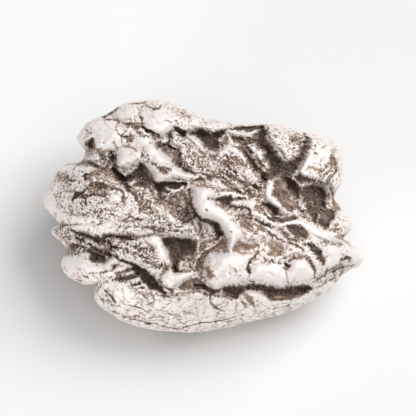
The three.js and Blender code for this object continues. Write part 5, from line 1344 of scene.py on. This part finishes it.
def normals_of(points):
    """Each point's unit normal: the cross products of its quads' diagonals, added up."""
    a, b, c, d = (points[quads[:, k]] for k in range(4))
    cross = np.cross(c - a, d - b)
    total = np.zeros((len(points), 3))
    for k in range(4):
        for axis in range(3):
            total[:, axis] += np.bincount(quads[:, k], cross[:, axis], len(points))
    return total / np.linalg.norm(total, axis=1, keepdims=True)


raised = coarse * (GRAIN_GAIN * grain + drawn - LINE_DEPTH * line) + gloss * LOBE_HEIGHT * lobes - SINK
surface += normals_of(surface) * raised[:, None]
line = np.maximum(line, gloss * creases)
print("moved by, mm:", raised.min().round(2), raised.max().round(2))

# %% [markdown]
# ## Onto the frame
#
# The lump is turned to the frame, its underside is planed off where it rests, and its box is set on the
# frame's box, which takes the last hundredths of a millimetre out of the difference.

# %% Place
turned = to_frame(surface)
turned[:, 2] = np.maximum(turned[:, 2], -REST_DEPTH)
low, high = turned.min(axis=0), turned.max(axis=0)
node_low, node_high = (np.array(corner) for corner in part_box(NODE))
stretch = (node_high - node_low) / (high - low)


def on_frame(points):
    """Turned places in millimetres to the frame's metres."""
    return node_low + (points - low) * stretch


placed = on_frame(turned)
print("stretch onto the frame:", (stretch / MM).round(4))

# %% [markdown]
# ## How far each point stands out
#
# A blurred copy of the surface is the surface without its small forms. A point's height over that copy,
# along the normal, says whether rubbing would reach it or rust would sit in it. Two blurs give the fine and
# the broad measure.

# %% Measures
FINE_ROUNDS = 12
BROAD_ROUNDS = 220
FINE_LIMIT = 0.06  # millimetres; past it a brink counts no more than a grain does
normal = normals_of(surface)


def stand_out(rounds):
    """Height over the blurred surface along the normal, in millimetres."""
    copy = np.column_stack([blurred(surface[:, axis], rounds) for axis in range(3)])
    return np.sum((surface - copy) * normal, axis=1)


fine_height = FINE_LIMIT * np.tanh(stand_out(FINE_ROUNDS) / FINE_LIMIT)
broad_height = stand_out(BROAD_ROUNDS)
for name, height in (("fine", fine_height), ("broad", broad_height)):
    print(name, "height, mm:", np.percentile(height, [2, 50, 98]).round(3))

# %% [markdown]
# ## The mesh and what it carries
#
# The whole meteorite is one closed mesh of squares. Each point carries six values with it: the two heights,
# the stain, the gloss, the grit and the fine lines. The material reads them, so colour and shape can't
# drift apart, which they would if the colour were painted in a second step.

# %% Mesh
mesh = bpy.data.meshes.new("meteorite_surface")
mesh.from_pydata(placed, [], quads)
mesh.polygons.foreach_set("use_smooth", np.ones(len(quads), dtype=bool))
carried = {
    "fine_height": fine_height,
    "broad_height": broad_height,
    "stain": stain,
    "gloss": gloss,
    "grit": grit,
    "line": line,
}
for name, values in carried.items():
    mesh.attributes.new(name, "FLOAT", "POINT").data.foreach_set("value", values.astype(np.float32))
mesh.validate()
mesh.update()
meteorite = bpy.data.objects.new("meteorite_surface", mesh)
bpy.context.scene.collection.objects.link(meteorite)
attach(meteorite, "root")
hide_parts(NODE)
print("mesh:", len(mesh.vertices), "points,", 2 * len(mesh.polygons), "triangles")

# %% [markdown]
# ## Rubbed iron and rust
#
# The metal has been cleaned and rubbed: what stands out is pale, nearly white iron, and what lies low keeps
# a brown to black rust. One value, dirt, will say how much rust a spot has, so the first cell sets up the
# material and short names for the sums and products that dirt is made of.

# %% Metal
metal = bpy.data.materials.new("nickel_iron")
metal.use_nodes = True
nodes, links = metal.node_tree.nodes, metal.node_tree.links
nodes.clear()
output = nodes.new("ShaderNodeOutputMaterial")
shader = nodes.new("ShaderNodeBsdfPrincipled")
links.new(shader.outputs[0], output.inputs[0])
position = nodes.new("ShaderNodeTexCoord").outputs["Object"]


def attribute(name):
    """The output of a named mesh attribute."""
    node = nodes.new("ShaderNodeAttribute")
    node.attribute_name = name
    return node.outputs["Fac"]


def arithmetic(operation, *values, clamp=False):
    """One Math node, fed by sockets or plain numbers; clamp keeps its result from 0 to 1."""
    node = nodes.new("ShaderNodeMath")
    node.operation = operation
    node.use_clamp = clamp
    for socket, value in zip(node.inputs, values):
        if isinstance(value, (int, float)):
            socket.default_value = value
        else:
            links.new(value, socket)
    return node.outputs[0]


def noise(scale, detail=3.0, roughness=0.6):
    """A noise texture on the object's own place, from 0 to 1; the scale is in waves to the metre."""
    node = nodes.new("ShaderNodeTexNoise")
    node.inputs["Scale"].default_value = scale
    node.inputs["Detail"].default_value = detail
    node.inputs["Roughness"].default_value = roughness
    links.new(position, node.inputs["Vector"])
    return node.outputs["Fac"]


plus, minus, times = (partial(arithmetic, operation) for operation in ("ADD", "SUBTRACT", "MULTIPLY"))
print("metal:", metal.name, "with", len(nodes), "nodes to start from")

# %% [markdown]
# ## How raw the metal is
#
# Specks and flecks of rust hold on where the metal is raw: not polished, and gritty. Where the stain is
# half thick its own colour should show, so rawness is taken back there and the specks don't break the tan
# up.

# %% Rawness
UNPOLISHED = 1.16  # a full gloss leaves a little rawness over
GRIT_RAW = 0.5  # rawness that full grit adds
SMOOTH_RAW = 0.6  # and what there is without any
CALM = 2.2  # how strongly a half-thick stain takes the rawness back
OPEN_SHARE = 0.2  # rawness that polish doesn't take away from mottling and hairlines

stained = attribute("stain")
rawness = times(minus(UNPOLISHED, attribute("gloss")), plus(times(attribute("grit"), GRIT_RAW), SMOOTH_RAW))
half_thick = times(stained, minus(1.0, stained))
rawness = times(rawness, minus(1.0, times(half_thick, CALM)))
open_rawness = plus(rawness, OPEN_SHARE)
print("nodes so far:", len(nodes))

# %% [markdown]
# ## Dirt from the shape
#
# What stands out is rubbed clean and what lies low keeps its dirt. The fine height counts for most, and for
# less where a stain has covered everything already.

# %% Dirt from the shape
FINE_DIRT = -6.0  # for each millimetre that a point stands out
BROAD_DIRT = -0.05
STAIN_COVER = 0.9  # how much of the fine dirt a full stain hides

bare = minus(1.0, times(stained, STAIN_COVER))
dirt = times(times(attribute("fine_height"), FINE_DIRT), bare)
dirt = plus(dirt, times(attribute("broad_height"), BROAD_DIRT))
print("nodes so far:", len(nodes))

# %% [markdown]
# ## Specks, flecks and mottling
#
# Three sizes of noise break the colour up. The specks are the finest, the flecks are noise cut off at a
# level so that they get edges, and the mottling is softer and larger. Slow noise underneath makes all of it
# patchy.

# %% Specks and flecks
MIDDLE = 0.5  # the middle value of any noise
SPECKS = 3.4
PATCHES = 0.5
CROWDING = 0.45  # how much the slow noise brings flecks together
FLECK_LEVEL = 0.55
FLECK_EDGE = 20.0  # the higher, the harder their edges
FLECKS = 1.1
BETWEEN_FLECKS = 0.3  # what is taken off the dirt between them
MOTTLE_LEVEL = 0.53
MOTTLE_EDGE = 2.2
MOTTLES = 0.4

speck = noise(4600, roughness=0.85)
dirt = plus(dirt, times(times(minus(speck, MIDDLE), rawness), SPECKS))
dirt = plus(dirt, times(minus(noise(1100), MIDDLE), PATCHES))
crowded = times(minus(noise(600, detail=2.0), MIDDLE), CROWDING)
fleck = minus(plus(noise(3600, detail=2.0, roughness=0.55), crowded), FLECK_LEVEL)
fleck = minus(times(times(fleck, FLECK_EDGE, clamp=True), FLECKS), BETWEEN_FLECKS)
dirt = plus(dirt, times(fleck, rawness))
mottle = minus(noise(1500, detail=4.0, roughness=0.7), MOTTLE_LEVEL)
dirt = plus(dirt, times(times(mottle, MOTTLE_EDGE, clamp=True), times(open_rawness, MOTTLES)))
print("nodes so far:", len(nodes))

# %% [markdown]
# ## Hairlines, crinkles and stain
#
# The mesh brings the long hairlines. Short crooked ones come from noise: where it passes through its middle
# value it leaves a thin line, and a second noise interrupts them. The stain goes on last and covers the
# rest.

# %% Lines and stain
HAIRS = 0.7
CRINKLE_SHARPNESS = 22.0
CRINKLES = 0.75
CRINKLE_RAW = 0.12  # even polished metal has a few
BREAK_LEVEL = 0.47
BREAK_EDGE = 6.0
STAIN_GAIN = 1.25
STAIN_LIMIT = 1.08

dirt = plus(dirt, times(attribute("line"), times(open_rawness, HAIRS)))
crinkle = arithmetic("ABSOLUTE", minus(noise(1300, detail=2.0), MIDDLE))
crinkle = minus(1.0, times(crinkle, CRINKLE_SHARPNESS), clamp=True)
broken = times(minus(noise(800, detail=2.0), BREAK_LEVEL), BREAK_EDGE, clamp=True)
crinkle = times(times(crinkle, broken), plus(rawness, CRINKLE_RAW))
dirt = plus(dirt, times(crinkle, CRINKLES))
rust = arithmetic("MINIMUM", times(stained, STAIN_GAIN), STAIN_LIMIT)
dirt = plus(dirt, rust, clamp=True)
print("nodes that make dirt:", len(nodes))

# %% [markdown]
# ## From dirt to a finish
#
# A single colour ramp turns dirt into colour, from bare iron over tan and brown to nearly black. The same
# value makes rusty places rougher, duller and not metallic, so that all the finishes agree with each other.

# %% Finish of the metal
COLOURS = [  # dirt, colour
    (0.0, (0.82, 0.765, 0.74)),
    (0.1, (0.73, 0.655, 0.62)),
    (0.3, (0.44, 0.335, 0.27)),
    (0.55, (0.26, 0.175, 0.13)),
    (0.8, (0.2, 0.144, 0.12)),
    (0.97, (0.078, 0.056, 0.049)),
]
METALLIC = 0.25  # of clean iron, which is scuffed and scatters light; rust takes it to 0
ROUGHNESS, RUST_ROUGHENS = 0.5, 0.4
SHEEN, RUST_DULLS = 0.5, 0.4
BUMP_DEPTH = 0.08 * MM
BUMP_STRENGTH = 0.9


def ramp(value, stops):
    """A colour ramp through (place, colour) stops."""
    node = nodes.new("ShaderNodeValToRGB")
    elements = node.color_ramp.elements
    while len(elements) < len(stops):
        elements.new(1)
    for element, (place, colour) in zip(elements, stops):
        element.position = place
        element.color = (*colour, 1)
    links.new(value, node.inputs[0])
    return node.outputs[0]


links.new(ramp(dirt, COLOURS), shader.inputs["Base Color"])
links.new(minus(METALLIC, dirt, clamp=True), shader.inputs["Metallic"])
links.new(plus(times(dirt, RUST_ROUGHENS), ROUGHNESS), shader.inputs["Roughness"])
links.new(minus(SHEEN, times(dirt, RUST_DULLS)), shader.inputs["Specular IOR Level"])
bump = nodes.new("ShaderNodeBump")
bump.inputs["Distance"].default_value = BUMP_DEPTH
bump.inputs["Strength"].default_value = BUMP_STRENGTH
links.new(times(speck, rawness), bump.inputs["Height"])
links.new(bump.outputs[0], shader.inputs["Normal"])
mesh.materials.append(metal)
print("nodes in the metal:", len(nodes))

# %% [markdown]
# ## A pale floor
#
# The stone lies on a plain pale surface with no edge in sight, so the floor is one large sheet of matt
# paper.

# %% Floor
FLOOR_HALF = 1.5
PAPER_GREY = 0.76
PAPER_ROUGHNESS = 0.9
corners = [(x * FLOOR_HALF, y * FLOOR_HALF, 0) for x, y in ((-1, -1), (1, -1), (1, 1), (-1, 1))]
floor_mesh = bpy.data.meshes.new("floor")
floor_mesh.from_pydata(corners, [], [(0, 1, 2, 3)])
floor = bpy.data.objects.new("floor", floor_mesh)
bpy.context.scene.collection.objects.link(floor)
paper = bpy.data.materials.new("paper")
paper.use_nodes = True
paper_shader = paper.node_tree.nodes["Principled BSDF"]
paper_shader.inputs["Base Color"].default_value = (PAPER_GREY, PAPER_GREY, PAPER_GREY, 1)
paper_shader.inputs["Roughness"].default_value = PAPER_ROUGHNESS
floor_mesh.materials.append(paper)
print("floor:", 2 * FLOOR_HALF, "m wide")

# %% [markdown]
# ## Soft light from the upper right
#
# Relief reads best when the light comes from one side. A large soft box at the upper right is the
# strongest. A second one hangs overhead and opens the shadows, and two weak ones low on the left let the
# walls of the hollows and the far edge stay readable. The Standard view transform keeps the bright metal
# near white.

# %% Light
ROOM_LIGHT = 0.27
LAMPS = {  # place and size in metres, watts
    "key": ((0.69, 0.4, 1.0), 0.9, 15),
    "fill": ((0.35, -0.35, 1.5), 1.4, 8),
    "wall": ((-0.7, -1.0, 0.2), 0.6, 8),
    "edge": ((-0.7, 0.9, 0.14), 0.5, 2.2),
}
AIM = Vector((0, 0, 0.008))  # the lamps all point at this place inside the lump

scene = bpy.context.scene
scene.view_settings.view_transform = "Standard"
world = bpy.data.worlds.new("studio")
world.use_nodes = True
world.node_tree.nodes["Background"].inputs[0].default_value = (1, 1, 1, 1)
world.node_tree.nodes["Background"].inputs[1].default_value = ROOM_LIGHT
scene.world = world
for name, (place, size, watts) in LAMPS.items():
    light = bpy.data.lights.new(name, "AREA")
    light.energy = watts
    light.size = size
    lamp = bpy.data.objects.new(name, light)
    lamp.location = place
    lamp.rotation_euler = (AIM - Vector(place)).to_track_quat("-Z", "Y").to_euler()
    scene.collection.objects.link(lamp)
print("lamps:", ", ".join(LAMPS))

# %% [markdown]
# ## The camera
#
# A long lens from far away looks straight down on the face, as in a catalogue, so the outline is nearly
# free of perspective. The distance follows from the lens, its sensor and how many millimetres the view
# should take in.

# %% Camera
LENS = 400  # mm
SENSOR = 36  # mm
VIEW_WIDTH = 52  # millimetres across the view at the lump
VIEW_MIDDLE = (0.56, 0.94, 3.0)  # the place that the camera looks at, in face coordinates
CLIP_NEAR, CLIP_FAR = 0.01, 10

camera_data = bpy.data.cameras.new("camera")
camera_data.lens = LENS
camera_data.sensor_width = SENSOR
camera_data.clip_start = CLIP_NEAR
camera_data.clip_end = CLIP_FAR
camera = bpy.data.objects.new("camera", camera_data)
distance = VIEW_WIDTH / SENSOR * LENS * MM
target = Vector(on_frame(to_frame(np.array([VIEW_MIDDLE]))[0]))
eye = target + distance * Vector(to_frame(np.array([(0, 0, 1)]))[0])
camera.location = eye
camera.rotation_euler = (target - eye).to_track_quat("-Z", "Y").to_euler()
scene.collection.objects.link(camera)
scene.camera = camera
print("camera at", [round(x, 3) for x in eye], "looks at", [round(x, 4) for x in target])
